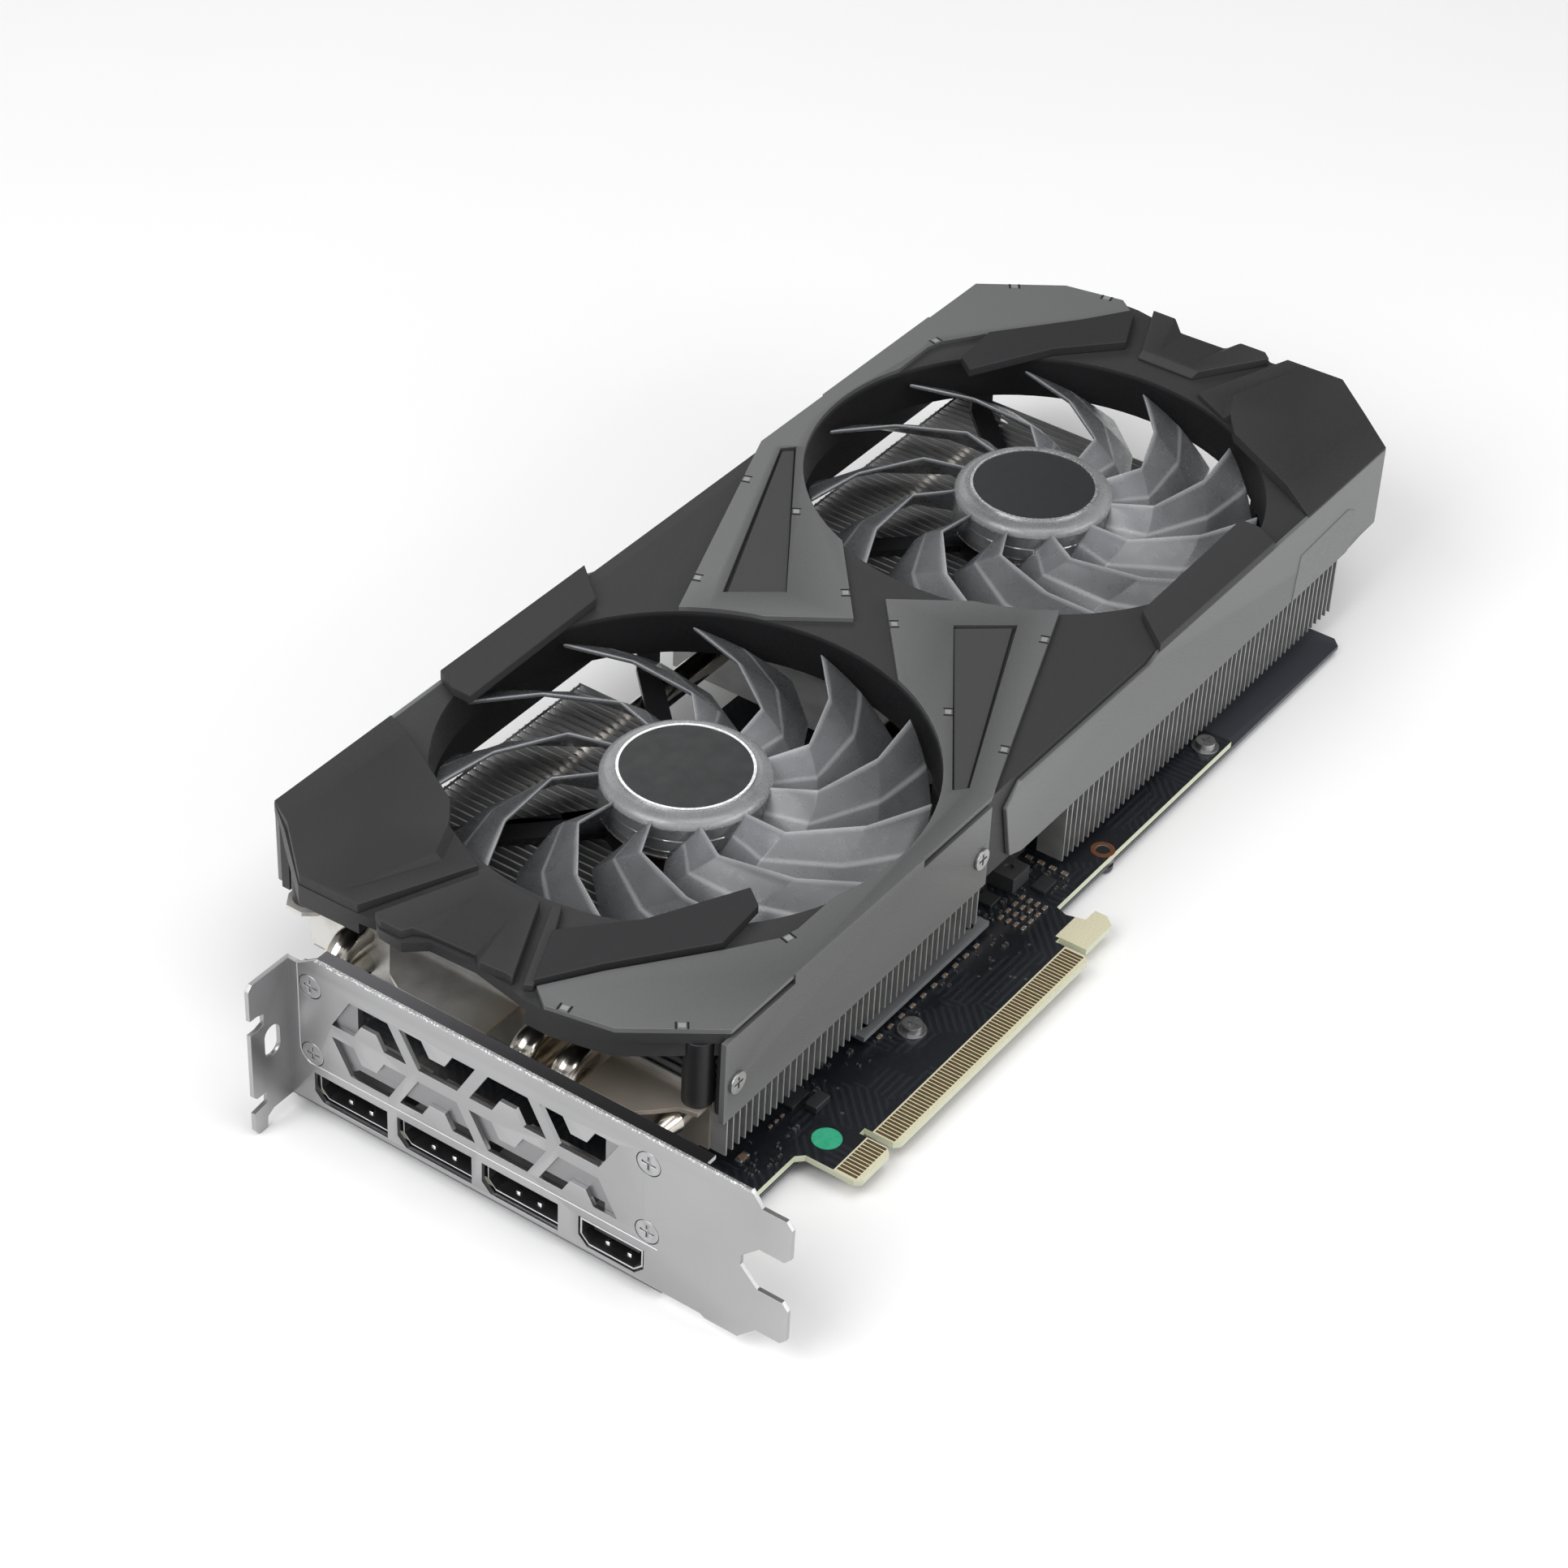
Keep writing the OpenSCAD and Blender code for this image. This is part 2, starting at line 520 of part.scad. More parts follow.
module panel_screws() {
    color("#c4c5c6") both() for (x = [-27.3, 58]) translate([x, 20, 26]) rotate([90, 0, 0]) {
        screw_head(2.4, 0.7);
        translate([0, 0, -3]) cylinder(r = 1.2, h = 3.1);
    }
}

// ---- fans ----
module fan_frames() {
    color("#1c1d1e") for (f = [fan1, fan2]) translate([f[0], f[1], 0]) {
        difference() {
            union() {
                rod([0, 0, fin_z1 + 0.4], 17, arm_t);
                for (a = [45:90:315]) rotate([0, 0, a]) {
                    translate([15, -2.5, fin_z1 + 0.4]) cube([39.2, 5, arm_t]);
                    translate([duct_r + 0.1, -2.5, fin_z1 + 0.4]) cube([1.4, 5, duct_z0 - fin_z1 - 0.4]);
                }
            }
            rod([0, 0, 0], shaft_r + 2, 40);
        }
    }
}
module fan_motor(f) {
    color("#3a2f28") translate([f[0], f[1], 0]) difference() {
        union() {
            rod([0, 0, motor_z0], 5, 9);
            for (z = [motor_z0 + 2, motor_z0 + 6]) rod([0, 0, z], 13.5, 2);
            rod([0, 0, motor_z0], 14.5, 1.2);
            for (a = [0:60:300]) rotate([0, 0, a]) translate([9, 0, motor_z0 + 1]) cylinder(r = 3, h = 7);
        }
        rod([0, 0, 0], shaft_r + bore_gap, 60);
    }
}
module front_fan_motor() fan_motor(fan1);
module rear_fan_motor() fan_motor(fan2);

// stations of a blade: radius, angle of the leading edge, angle of the trailing edge, crease height
stations = [[hub_r - 1, -37, -60, 31.4], [27.5, -32.5, -57, 32], [40, -13.3, -38.5, 32], [48.5, -1.5,
    -27, 31.8],
    [tip_r, 1, -24.5, 31.6]];
function on_blade(s, u, dz) = let (a = s[1] + (s[2] - s[1]) * u,
    z = u == 0 ? blade_z1 : u == 1 ? blade_z0 : s[3]) [s[0] * cos(a), s[0] * sin(a), z + dz];
module blade() {
    n = len(stations);
    pts = [for (s = stations) for (k = [[0, 0], [0.5, 0], [1, 0], [1, -blade_t], [0.5, -blade_t], [0,
        -blade_t]])
        on_blade(s, k[0], k[1])];
    sides = [for (i = [0:n - 2], k = [0:5]) let (a = i * 6 + k, b = i * 6 + (k + 1) % 6)
        each [[a, b + 6, b], [a, a + 6, b + 6]]];
    ends = concat([[0, 4, 5], [0, 1, 4], [1, 3, 4], [1, 2, 3]],
        [for (t = [[0, 5, 4], [0, 4, 1], [1, 4, 3], [1, 3, 2]]) [for (v = t) v + 6 * (n - 1)]]);
    polyhedron(points = pts, faces = concat(sides, ends), convexity = 6);
}
module fan_rotor(f) {
    color("#c9cdd0") translate([f[0], f[1], 0]) {
        difference() {
            union() {
                rotate_extrude($fn = 96) polygon([[0, 35], [16.2, 35], [16.2, 27], [hub_r, 27], [hub_r,
                    35.2], [16.8, 36.6], [15, 37], [0, 37]]);
                rod([0, 0, 33.4], 3.4, 2);
            }
            rod([0, 0, 30], shaft_r, 6);
        }
        for (i = [0:blades - 1]) rotate([0, 0, 1.1 + i * 360 / blades]) blade();
    }
}
module front_fan_rotor() fan_rotor(fan1);
module rear_fan_rotor() fan_rotor(fan2);
module fan_shaft(f) color("#a9abad") rod([f[0], f[1], motor_z0 + 0.4], shaft_r, 35.6 - motor_z0);
module front_fan_shaft() fan_shaft(fan1);
module rear_fan_shaft() fan_shaft(fan2);
module fan_badge(f) color("#2c2d2f") rod([f[0], f[1], 37], 13.9, 0.4);
module front_fan_badge() fan_badge(fan1);
module rear_fan_badge() fan_badge(fan2);
module badge_ring(f) color("#e4e5e6") difference() {
    rod([f[0], f[1], 37], 14.5, 0.5);
    rod([f[0], f[1], 36], 13.9, 3);
}
module front_badge_ring() badge_ring(fan1);
module rear_badge_ring() badge_ring(fan2);

circuit_board();
edge_contacts();
backplate();
backplate_spacers();
backplate_screws();
board_screws();
io_bracket();
bracket_stay();
bracket_screws();
displayport_shells();
displayport_inserts();
hdmi_shell();
hdmi_insert();
graphics_chip();
memory_chips();
power_inductors();
power_stages();
capacitors();
small_components();
power_socket();
inspection_dot();
thermal_pads();
base_frame();
cold_plate();
heat_pipes();
front_fins();
rear_fins();
fin_corner_plates();
shroud_body();
shroud_posts();
corner_covers();
pointed_bars();
middle_plates();
edge_strips();
trim_sheets();
side_covers();
triangle_inserts();
panel_screws();
fan_frames();
front_fan_motor();
rear_fan_motor();
front_fan_rotor();
rear_fan_rotor();
front_fan_shaft();
rear_fan_shaft();
front_fan_badge();
rear_fan_badge();
front_badge_ring();
rear_badge_ring();
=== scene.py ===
import math
import random
import bmesh
import bpy
from mathutils import Matrix, Vector


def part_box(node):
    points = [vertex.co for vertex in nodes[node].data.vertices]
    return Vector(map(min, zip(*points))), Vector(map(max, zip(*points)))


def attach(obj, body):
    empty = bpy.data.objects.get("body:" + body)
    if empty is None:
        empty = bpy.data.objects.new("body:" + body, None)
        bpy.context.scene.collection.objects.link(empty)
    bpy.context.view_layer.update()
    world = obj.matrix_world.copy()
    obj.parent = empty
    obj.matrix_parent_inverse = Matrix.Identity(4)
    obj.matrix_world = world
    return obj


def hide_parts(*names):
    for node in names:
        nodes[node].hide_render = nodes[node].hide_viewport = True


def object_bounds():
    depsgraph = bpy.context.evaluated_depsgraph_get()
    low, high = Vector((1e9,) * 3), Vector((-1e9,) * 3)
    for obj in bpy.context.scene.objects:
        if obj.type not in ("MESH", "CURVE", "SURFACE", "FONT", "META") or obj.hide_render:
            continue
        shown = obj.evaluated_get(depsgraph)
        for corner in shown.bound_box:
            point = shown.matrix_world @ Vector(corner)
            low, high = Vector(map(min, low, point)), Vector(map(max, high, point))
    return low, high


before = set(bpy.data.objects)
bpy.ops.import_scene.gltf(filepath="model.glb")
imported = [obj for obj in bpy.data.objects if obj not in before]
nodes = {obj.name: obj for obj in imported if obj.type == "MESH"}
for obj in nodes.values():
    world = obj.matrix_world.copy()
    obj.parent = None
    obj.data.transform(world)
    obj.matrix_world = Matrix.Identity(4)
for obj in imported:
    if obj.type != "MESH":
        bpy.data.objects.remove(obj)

cad_lo, cad_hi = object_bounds()
MM = 0.001


def centre(node):
    lo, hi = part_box(node)
    return (lo + hi) / 2


# ---------------------------------------------------------------- node helpers

class Shader:
    """One material around a Principled shader, with object coordinates in metres."""

    def __init__(self, name, colour, metallic=0.0, rough=0.5, **sockets):
        m = bpy.data.materials.new(name)
        m.use_nodes = True
        self.take(m)
        self.set(self.b, "Base Color", (*colour, 1))
        self.set(self.b, "Metallic", metallic)
        self.set(self.b, "Roughness", rough)
        for k, v in sockets.items():
            self.set(self.b, k.replace("_", " "), v)

    def take(self, material):
        self.m, self.t = material, material.node_tree
        self.b = self.t.nodes["Principled BSDF"]
        self.co = self.t.nodes.new("ShaderNodeTexCoord").outputs["Object"]
        self.normal = None

    @classmethod
    def over(cls, material):
        """A shader that goes on from a finished material."""
        s = cls.__new__(cls)
        s.take(material)
        return s

    def source(self, socket):
        """What is linked into a socket of the Principled shader."""
        return self.b.inputs[socket].links[0].from_socket

    def set(self, node, socket, value):
        node.inputs[socket].default_value = value

    def new(self, kind, **props):
        n = self.t.nodes.new(kind)
        for k, v in props.items():
            setattr(n, k, v)
        return n

    def link(self, a, b):
        self.t.links.new(a, b)

    def stretch(self, scale, rotate=(0, 0, 0), source=None):
        n = self.new("ShaderNodeMapping")
        n.inputs["Scale"].default_value = scale
        n.inputs["Rotation"].default_value = rotate
        self.link(source or self.co, n.inputs["Vector"])
        return n.outputs["Vector"]

    def noise(self, scale, detail=2, source=None, rough=0.5):
        n = self.new("ShaderNodeTexNoise")
        self.link(source or self.co, n.inputs["Vector"])
        self.set(n, "Scale", scale)
        self.set(n, "Detail", detail)
        self.set(n, "Roughness", rough)
        return n.outputs["Fac"]

    def cells(self, scale, source=None, feature="F1"):
        n = self.new("ShaderNodeTexVoronoi", feature=feature)
        self.link(source or self.co, n.inputs["Vector"])
        self.set(n, "Scale", scale)
        return n

    def ramp(self, fac, a, b, lo=0.0, hi=1.0):
        n = self.new("ShaderNodeMapRange")
        self.link(fac, n.inputs["Value"])
        for k, v in (("From Min", lo), ("From Max", hi), ("To Min", a), ("To Max", b)):
            self.set(n, k, v)
        return n.outputs["Result"]

    def math(self, op, a, b=None):
        n = self.new("ShaderNodeMath", operation=op)
        for i, v in enumerate((a, b)):
            if v is None:
                continue
            if isinstance(v, (int, float)):
                n.inputs[i].default_value = v
            else:
                self.link(v, n.inputs[i])
        return n.outputs[0]

    def mix(self, fac, a, b):
        n = self.new("ShaderNodeMix", data_type="RGBA")
        self.link(fac, n.inputs[0])
        for socket, v in ((n.inputs[6], a), (n.inputs[7], b)):
            if isinstance(v, tuple):
                socket.default_value = (*v, 1)
            else:
                self.link(v, socket)
        return n.outputs[2]

    def axis(self, name, source=None):
        n = self.new("ShaderNodeSeparateXYZ")
        self.link(source or self.co, n.inputs[0])
        return n.outputs[name]

    def bump(self, height, strength, distance):
        n = self.new("ShaderNodeBump")
        self.set(n, "Strength", strength)
        self.set(n, "Distance", distance)
        self.link(height, n.inputs["Height"])
        if self.normal:
            self.link(self.normal, n.inputs["Normal"])
        self.normal = n.outputs["Normal"]
        self.link(self.normal, self.b.inputs["Normal"])

    def colour(self, c):
        self.link(c, self.b.inputs["Base Color"])

    def rough(self, r):
        self.link(r, self.b.inputs["Roughness"])

    def painted_edge_highlight(self, base, light, amount=1.0):
        """Painted highlight: the colour along convex edges, a little lighter than the faces."""
        g = self.new("ShaderNodeNewGeometry")
        edge = self.ramp(g.outputs["Pointiness"], 0, amount, 0.505, 0.57)
        return self.mix(edge, base, light)


def shade(c, k):
    return tuple(v * k for v in c)


# ---------------------------------------------------------------- sizes of the fans, in mm

FAN_AXES = [(c.x, c.y) for c in (centre("front_fan_shaft"), centre("rear_fan_shaft"))]
# the blades' paleness from the hub out to PALE_R is painted light
HUB_R, PALE_R, BLADES = 18.0, 41, 11  # the blades are paler from the hub out to PALE_R
LEAD_Z, FOLD_Z, TRAIL_Z, BLADE_T = 36.0, 31.7, 26.2, 1.0
# radius, angle of the leading edge, angle of the trailing edge, height of the crease
STATIONS = ((17.0, -37, -60, 31.4), (27.5, -32.5, -57, 32), (40, -13.3, -38.5, 32), (48.5, -1.5, -27, 31.8),
            (51, 1, -24.5, 31.6))

# profiles of the hub and of the can inside it: radius and height
HUB_TOP = ((2.05, 35.2), (16.4, 35.2), (18, 34.6), (18, 35.3), (17.8, 35.9), (17.3, 36.4), (16.6, 36.8),
           (15.6, 37), (2.05, 37))
HUB_SKIRT = ((16.6, 27), (17.9, 27), (18, 27.2), (18, 34.5), (16.6, 35.1))
ROTOR_CAN = ((15, 27.6), (15.9, 27.6), (16.1, 27.8), (16.1, 30.6), (15.9, 30.8), (15.9, 31.2), (16.1, 31.4),
             (16.1, 34.9), (15, 34.9))


# ---------------------------------------------------------------- materials

# Painted shade: the shroud's colour is darkened on the walls of the fan openings, inside these limits.
OPENING_Z = (37.5 * MM, 38.5 * MM)  # the shroud is black below this band,
OPENING_Y = 23.4 * MM  # past this line across the card
OPENING_X = -22.5 * MM  # and behind this line along it


def moulded_plastic(name, c, rough=0.52, grain=2600, depth=0.35, shine=0.4):
    s = Shader(name, c, rough=rough, Specular_IOR_Level=shine)
    cloud = s.noise(45, 4)
    fine = s.noise(grain, 3)
    mottled = s.mix(s.ramp(fine, 0, 1, 0.3, 0.7), shade(c, 0.78), shade(c, 1.25))
    tone = s.mix(s.ramp(cloud, 0, 0.5, 0.3, 0.7), mottled, shade(c, 1.1))
    # convex edges lightened to 1.9 times the colour: painted highlight
    s.colour(s.painted_edge_highlight(tone, shade(c, 1.9), 0.7))
    s.rough(s.ramp(fine, rough - 0.07, rough + 0.09, 0.3, 0.7))
    s.bump(fine, depth, 0.00012)
    return s.m


def shroud_plastic(c, inside):
    """Moulded plastic, darkened on the walls of the fan openings as painted shade."""
    s = Shader.over(moulded_plastic("shroud_plastic", c))
    below_top = s.ramp(s.axis("Z"), 1, 0, *OPENING_Z)
    off_near_side = s.math("GREATER_THAN", s.axis("Y"), OPENING_Y)
    off_front = s.math("GREATER_THAN", s.axis("X"), OPENING_X)
    # mask of the opening walls, where the colour is darkened as painted shade
    painted_wall_shade = s.math("MULTIPLY", s.math("MULTIPLY", below_top, off_near_side), off_front)
    s.colour(s.mix(painted_wall_shade, s.source("Base Color"), inside))
    return s.m


def metallic_paint(name, c, rough=0.44):
    s = Shader(name, c, metallic=0.3, rough=rough)
    flake = s.cells(3600)
    speck = s.ramp(flake.outputs["Distance"], 1.25, 0.8, 0.0, 0.8)
    n = s.new("ShaderNodeMix", data_type="RGBA", blend_type="MULTIPLY")
    n.inputs[0].default_value = 0.8
    s.link(s.mix(s.noise(30, 4), shade(c, 0.93), shade(c, 1.08)), n.inputs[6])
    s.link(speck, n.inputs[7])
    # convex edges lightened to 2.4 times the colour: painted highlight
    s.colour(s.painted_edge_highlight(n.outputs[2], shade(c, 2.4), 0.9))
    s.rough(s.ramp(s.noise(2400, 2), rough - 0.06, rough + 0.1, 0.3, 0.7))
    s.bump(s.noise(2600, 2), 0.25, 0.0001)
    return s.m


def nickel(name, c, rough=0.16, wavy=0.12):
    s = Shader(name, c, metallic=1.0, rough=rough)
    cloud = s.noise(120, 4)
    s.colour(s.mix(s.ramp(cloud, 0, 1, 0.35, 0.7), c, shade(c, 0.72)))
    s.rough(s.ramp(s.noise(320, 3), rough * 0.7, rough * 1.9, 0.3, 0.75))
    s.bump(s.noise(170, 2), wavy, 0.0003)
    s.bump(s.noise(2400, 2), 0.08, 0.00003)
    return s.m


def sheet_with_painted_reflections():
    """Plated sheet with painted reflections: pale near the far corner, brown in the middle, grey again at the
    near end.
    """
    pale, brown, grey = (0.74, 0.73, 0.70), (0.30, 0.235, 0.15), (0.46, 0.41, 0.35)
    s = Shader("sheet_nickel", pale, metallic=0.65, rough=0.4)
    place = s.math("ADD", s.axis("Y"), s.ramp(s.noise(40, 2), -0.006, 0.006, 0.3, 0.7))
    # painted reflection: bands of pale, brown and grey along the sheet
    tone = s.mix(s.ramp(place, 1, 0, 0.069, 0.081), pale, brown)
    tone = s.mix(s.ramp(place, 1, 0, 0.034, 0.058), tone, grey)
    s.colour(s.mix(s.ramp(s.noise(160, 3), 0, 0.5, 0.35, 0.7), tone, shade(grey, 0.8)))
    s.rough(s.ramp(s.noise(90, 3), 0.28, 0.42, 0.3, 0.7))
    s.bump(s.noise(60, 1), 0.05, 0.0004)
    return s.m


def satin_steel(name, c, rough=0.3, streak=(60, 900, 60)):
    s = Shader(name, c, metallic=1.0, rough=rough)
    lines = s.noise(3, 3, s.stretch(streak))
    cloud = s.noise(28, 3)
    tone = s.mix(s.ramp(cloud, 0, 1, 0.3, 0.7), c, shade(c, 0.84))
    # convex edges lightened to 1.3 times the colour: painted highlight
    s.colour(s.painted_edge_highlight(tone, shade(c, 1.3), 0.7))
    s.rough(s.ramp(lines, rough - 0.02, rough + 0.04, 0.25, 0.75))
    s.bump(s.noise(2600, 2), 0.05, 0.00004)
    return s.m


LIP_X = -58.1 * MM  # the lip lies behind this line, the bend and the face in front of it
LIP_Z, BEND_Z = 34.5 * MM, 35.9 * MM  # above these lie the top of the lip, and the bend
FACING_UP = 0.75


def bracket_steel():
    """Brushed steel with painted light: the lip's top is painted as a dark reflection, and the bend in front
    of it has painted white glints.
    """
    s = Shader.over(satin_steel("bracket_steel", (0.37, 0.37, 0.375), 0.34))
    up = s.math("GREATER_THAN", s.axis("Z", s.new("ShaderNodeNewGeometry").outputs["Normal"]), FACING_UP)
    behind = s.math("GREATER_THAN", s.axis("X"), LIP_X)
    high = s.math("GREATER_THAN", s.axis("Z"), LIP_Z)
    # painted reflection: the upward-facing top of the lip is darkened
    lip = s.math("MULTIPLY", s.math("MULTIPLY", up, behind), high)
    before = s.math("LESS_THAN", s.axis("X"), LIP_X)
    bend = s.math("MULTIPLY", before, s.math("GREATER_THAN", s.axis("Z"), BEND_Z))
    # painted highlight: white glints scattered on the bend
    painted_glints = s.math("MULTIPLY", bend, s.ramp(s.noise(2600, 2), 0, 1, 0.5, 0.62))
    tone = s.mix(lip, s.source("Base Color"), (0.10, 0.10, 0.105))
    s.colour(s.mix(painted_glints, tone, (0.95, 0.95, 0.95)))
    n = s.new("ShaderNodeMix")
    s.link(lip, n.inputs[0])
    s.link(s.source("Roughness"), n.inputs[2])
    n.inputs[3].default_value = 0.14
    s.rough(n.outputs[0])
    return s.m


def screw_metal(name, c, rough=0.22):
    s = Shader(name, c, metallic=1.0, rough=rough)
    # convex edges lightened to 1.2 times the colour: painted highlight
    s.colour(s.painted_edge_highlight(s.mix(s.noise(900, 3), c, shade(c, 0.8)), shade(c, 1.2), 0.8))
    s.rough(s.ramp(s.noise(1500, 3), rough, rough + 0.18, 0.3, 0.7))
    s.bump(s.noise(1800, 2), 0.15, 0.00006)
    return s.m


def fin_metal(name, c):
    s = Shader(name, c, metallic=0.55, rough=0.36)
    bands = s.noise(2.5, 3, s.stretch((500, 60, 120)))
    s.colour(s.mix(s.ramp(bands, 0, 1, 0.3, 0.7), c, shade(c, 0.8)))
    s.rough(s.ramp(s.noise(700, 3), 0.28, 0.5, 0.3, 0.7))
    s.bump(s.noise(1500, 2), 0.12, 0.00006)
    return s.m


def frosted_plastic(name, c, rough=0.3, through=0.7, rim=(0.62, 0.64, 0.66), centres=()):
    """Smoky frosted plastic with painted light: paler towards the fan's axis, with painted highlights along
    the folds and edges of the blades.
    """
    s = Shader(name, c, rough=rough, IOR=1.46, Coat_Weight=0.2, Coat_Roughness=0.25)
    grain = s.noise(2600, 2)
    g = s.new("ShaderNodeNewGeometry")
    # painted highlight along convex edges; where fan axes are given, replaced below by the folds and edges
    edge = s.ramp(g.outputs["Pointiness"], 0, 1, 0.51, 0.60)
    tone = s.mix(s.ramp(grain, 0, 1, 0.3, 0.7), shade(c, 0.88), shade(c, 1.12))
    tone = s.mix(s.ramp(s.noise(38, 3), 0, 1, 0.35, 0.65), tone, shade(c, 1.25))
    if centres:
        near = []
        for x, y in centres:
            d = s.new("ShaderNodeVectorMath", operation="DISTANCE")
            s.link(s.stretch((1, 1, 0)), d.inputs[0])
            d.inputs[1].default_value = (x, y, 0)
            near.append(d.outputs["Value"])
        # painted light: paler towards the fan's axis
        axis = s.ramp(s.math("MINIMUM", *near), 1, 0, HUB_R * MM, PALE_R * MM)
        tone = s.mix(axis, tone, shade(c, 2.3))
        z = s.axis("Z")
        # painted highlights along the crease and along the leading and trailing edges
        fold = s.ramp(s.math("ABSOLUTE", s.math("SUBTRACT", z, FOLD_Z * MM)), 0.5, 0, 0.1 * MM, 0.5 * MM)
        front = s.ramp(z, 0, 0.8, (LEAD_Z - 0.7) * MM, LEAD_Z * MM)
        back = s.ramp(z, 0.7, 0, (TRAIL_Z - 0.8) * MM, TRAIL_Z * MM)
        edge = s.math("MAXIMUM", s.math("MAXIMUM", fold, front), back)
    s.colour(s.mix(edge, tone, rim))
    clear = s.ramp(s.noise(45, 3), through - 0.12, through + 0.1, 0.3, 0.7)
    s.link(s.math("MULTIPLY", clear, s.ramp(edge, 1, 0.55)), s.b.inputs["Transmission Weight"])
    s.rough(s.ramp(s.noise(420, 3), rough - 0.05, rough + 0.08, 0.3, 0.7))
    return s.m


def clear_plastic(name, c):
    s = Shader(name, c, rough=0.08, IOR=1.46, Transmission_Weight=0.93)
    s.colour(s.mix(s.ramp(s.noise(260, 3), 0, 1, 0.3, 0.7), c, shade(c, 0.9)))
    s.rough(s.ramp(s.noise(500, 3), 0.05, 0.2, 0.3, 0.75))
    s.bump(s.noise(160, 2), 0.05, 0.0003)
    return s.m


def printed_film(name, c):
    s = Shader(name, c, rough=0.42, Coat_Weight=0.2, Coat_Roughness=0.25)
    weave = s.noise(4200, 2)
    s.colour(s.mix(s.ramp(weave, 0, 1, 0.3, 0.7), shade(c, 0.75), shade(c, 1.35)))
    s.rough(s.ramp(s.noise(300, 3), 0.36, 0.5, 0.3, 0.7))
    s.bump(weave, 0.2, 0.00006)
    return s.m


FINGER_Y = 6.1 * MM  # bare fibre glass below this line, lacquer above it
HOOK_X, HOOK_Y = 74.2 * MM, 9.5 * MM  # and the hook of the connector is bare up to here


def board_lacquer():
    lacquer, glass = (0.006, 0.007, 0.010), (0.74, 0.70, 0.50)
    s = Shader("board_lacquer", lacquer, rough=0.34, Coat_Weight=0.4, Coat_Roughness=0.15)
    # copper tracks under the lacquer, in patches that run square or at 45 degrees
    patch = s.cells(95)
    pick = s.axis("X", patch.outputs["Color"])
    tracks = []
    for turn in (0, math.radians(45), math.radians(90)):
        w = s.new("ShaderNodeTexWave", wave_type="BANDS", bands_direction="X")
        s.link(s.stretch((1, 1, 1), (0, 0, turn)), w.inputs["Vector"])
        s.set(w, "Scale", 190)
        s.set(w, "Distortion", 0)
        tracks.append(s.ramp(w.outputs["Fac"], 0, 1, 0.55, 0.7))
    one = s.mix(s.math("GREATER_THAN", pick, 0.35), tracks[0], tracks[1])
    both = s.mix(s.math("GREATER_THAN", pick, 0.7), one, tracks[2])
    lines = s.math("MULTIPLY", s.axis("X", both), s.math("GREATER_THAN", s.noise(70, 1), 0.46))
    top = s.mix(lines, lacquer, (0.013, 0.016, 0.020))
    # plated holes
    hole = s.math("LESS_THAN", s.cells(420).outputs["Distance"], 0.16)
    sparse = s.math("MULTIPLY", hole, s.math("GREATER_THAN", s.noise(60, 1, s.stretch((1, 1, 0))), 0.55))
    top = s.mix(sparse, top, (0.06, 0.062, 0.06))
    weave = s.noise(2, 3, s.stretch((2500, 900, 900)))
    bare = s.mix(s.ramp(weave, 0, 1, 0.3, 0.7), glass, shade(glass, 0.8))
    past_fingers = s.math("GREATER_THAN", s.axis("X"), HOOK_X)
    hook = s.math("MULTIPLY", past_fingers, s.math("LESS_THAN", s.axis("Y"), HOOK_Y))
    below = s.math("MAXIMUM", s.math("LESS_THAN", s.axis("Y"), FINGER_Y), hook)
    g = s.new("ShaderNodeNewGeometry")
    flat = s.math("ABSOLUTE", s.axis("Z", g.outputs["Normal"]))
    edge = s.math("LESS_THAN", flat, 0.5)
    layers = s.ramp(s.noise(2, 2, s.stretch((20, 20, 2600))), 0.45, 1.0, 0.3, 0.7)
    rim = s.mix(layers, (0.36, 0.38, 0.26), (0.60, 0.62, 0.45))
    s.colour(s.mix(edge, s.mix(below, top, bare), rim))
    s.rough(s.ramp(s.noise(800, 3), 0.28, 0.44, 0.3, 0.7))
    s.bump(lines, 0.25, 0.00006)
    s.bump(s.noise(1500, 2), 0.08, 0.00005)
    return s.m


def gold_plate():
    c = (0.22, 0.155, 0.075)
    s = Shader("gold_plate", c, metallic=0.7, rough=0.34)
    s.colour(s.mix(s.noise(600, 3), shade(c, 0.7), shade(c, 1.25)))
    s.rough(s.ramp(s.noise(900, 2), 0.26, 0.46, 0.3, 0.7))
    s.bump(s.noise(2000, 2), 0.1, 0.00004)
    return s.m


def sticker():
    c = (0.02, 0.36, 0.19)
    s = Shader("sticker", c, rough=0.45, Coat_Weight=0.3, Coat_Roughness=0.3)
    s.colour(s.mix(s.ramp(s.noise(500, 4), 0, 1, 0.35, 0.65), c, (0.05, 0.44, 0.25)))
    s.rough(s.ramp(s.noise(900, 2), 0.38, 0.55, 0.3, 0.7))
    s.bump(s.noise(1200, 3), 0.2, 0.00005)
    return s.m


def copper_wire():
    c = (0.42, 0.17, 0.07)
    s = Shader("copper_wire", c, metallic=0.8, rough=0.3)
    turns = s.new("ShaderNodeTexWave", wave_type="BANDS", bands_direction="Z")
    s.link(s.co, turns.inputs["Vector"])
    s.set(turns, "Scale", 420)
    s.colour(s.mix(turns.outputs["Fac"], shade(c, 0.35), shade(c, 1.3)))
    s.rough(s.ramp(s.noise(900, 2), 0.25, 0.45, 0.3, 0.7))
    s.bump(turns.outputs["Fac"], 0.6, 0.0002)
    return s.m


def ceramic(name, c):
    s = Shader(name, c, rough=0.45)
    s.colour(s.mix(s.noise(1800, 3), shade(c, 0.7), shade(c, 1.3)))
    s.rough(s.ramp(s.noise(1400, 2), 0.38, 0.55, 0.3, 0.7))
    s.bump(s.noise(2600, 2), 0.2, 0.00005)
    return s.m


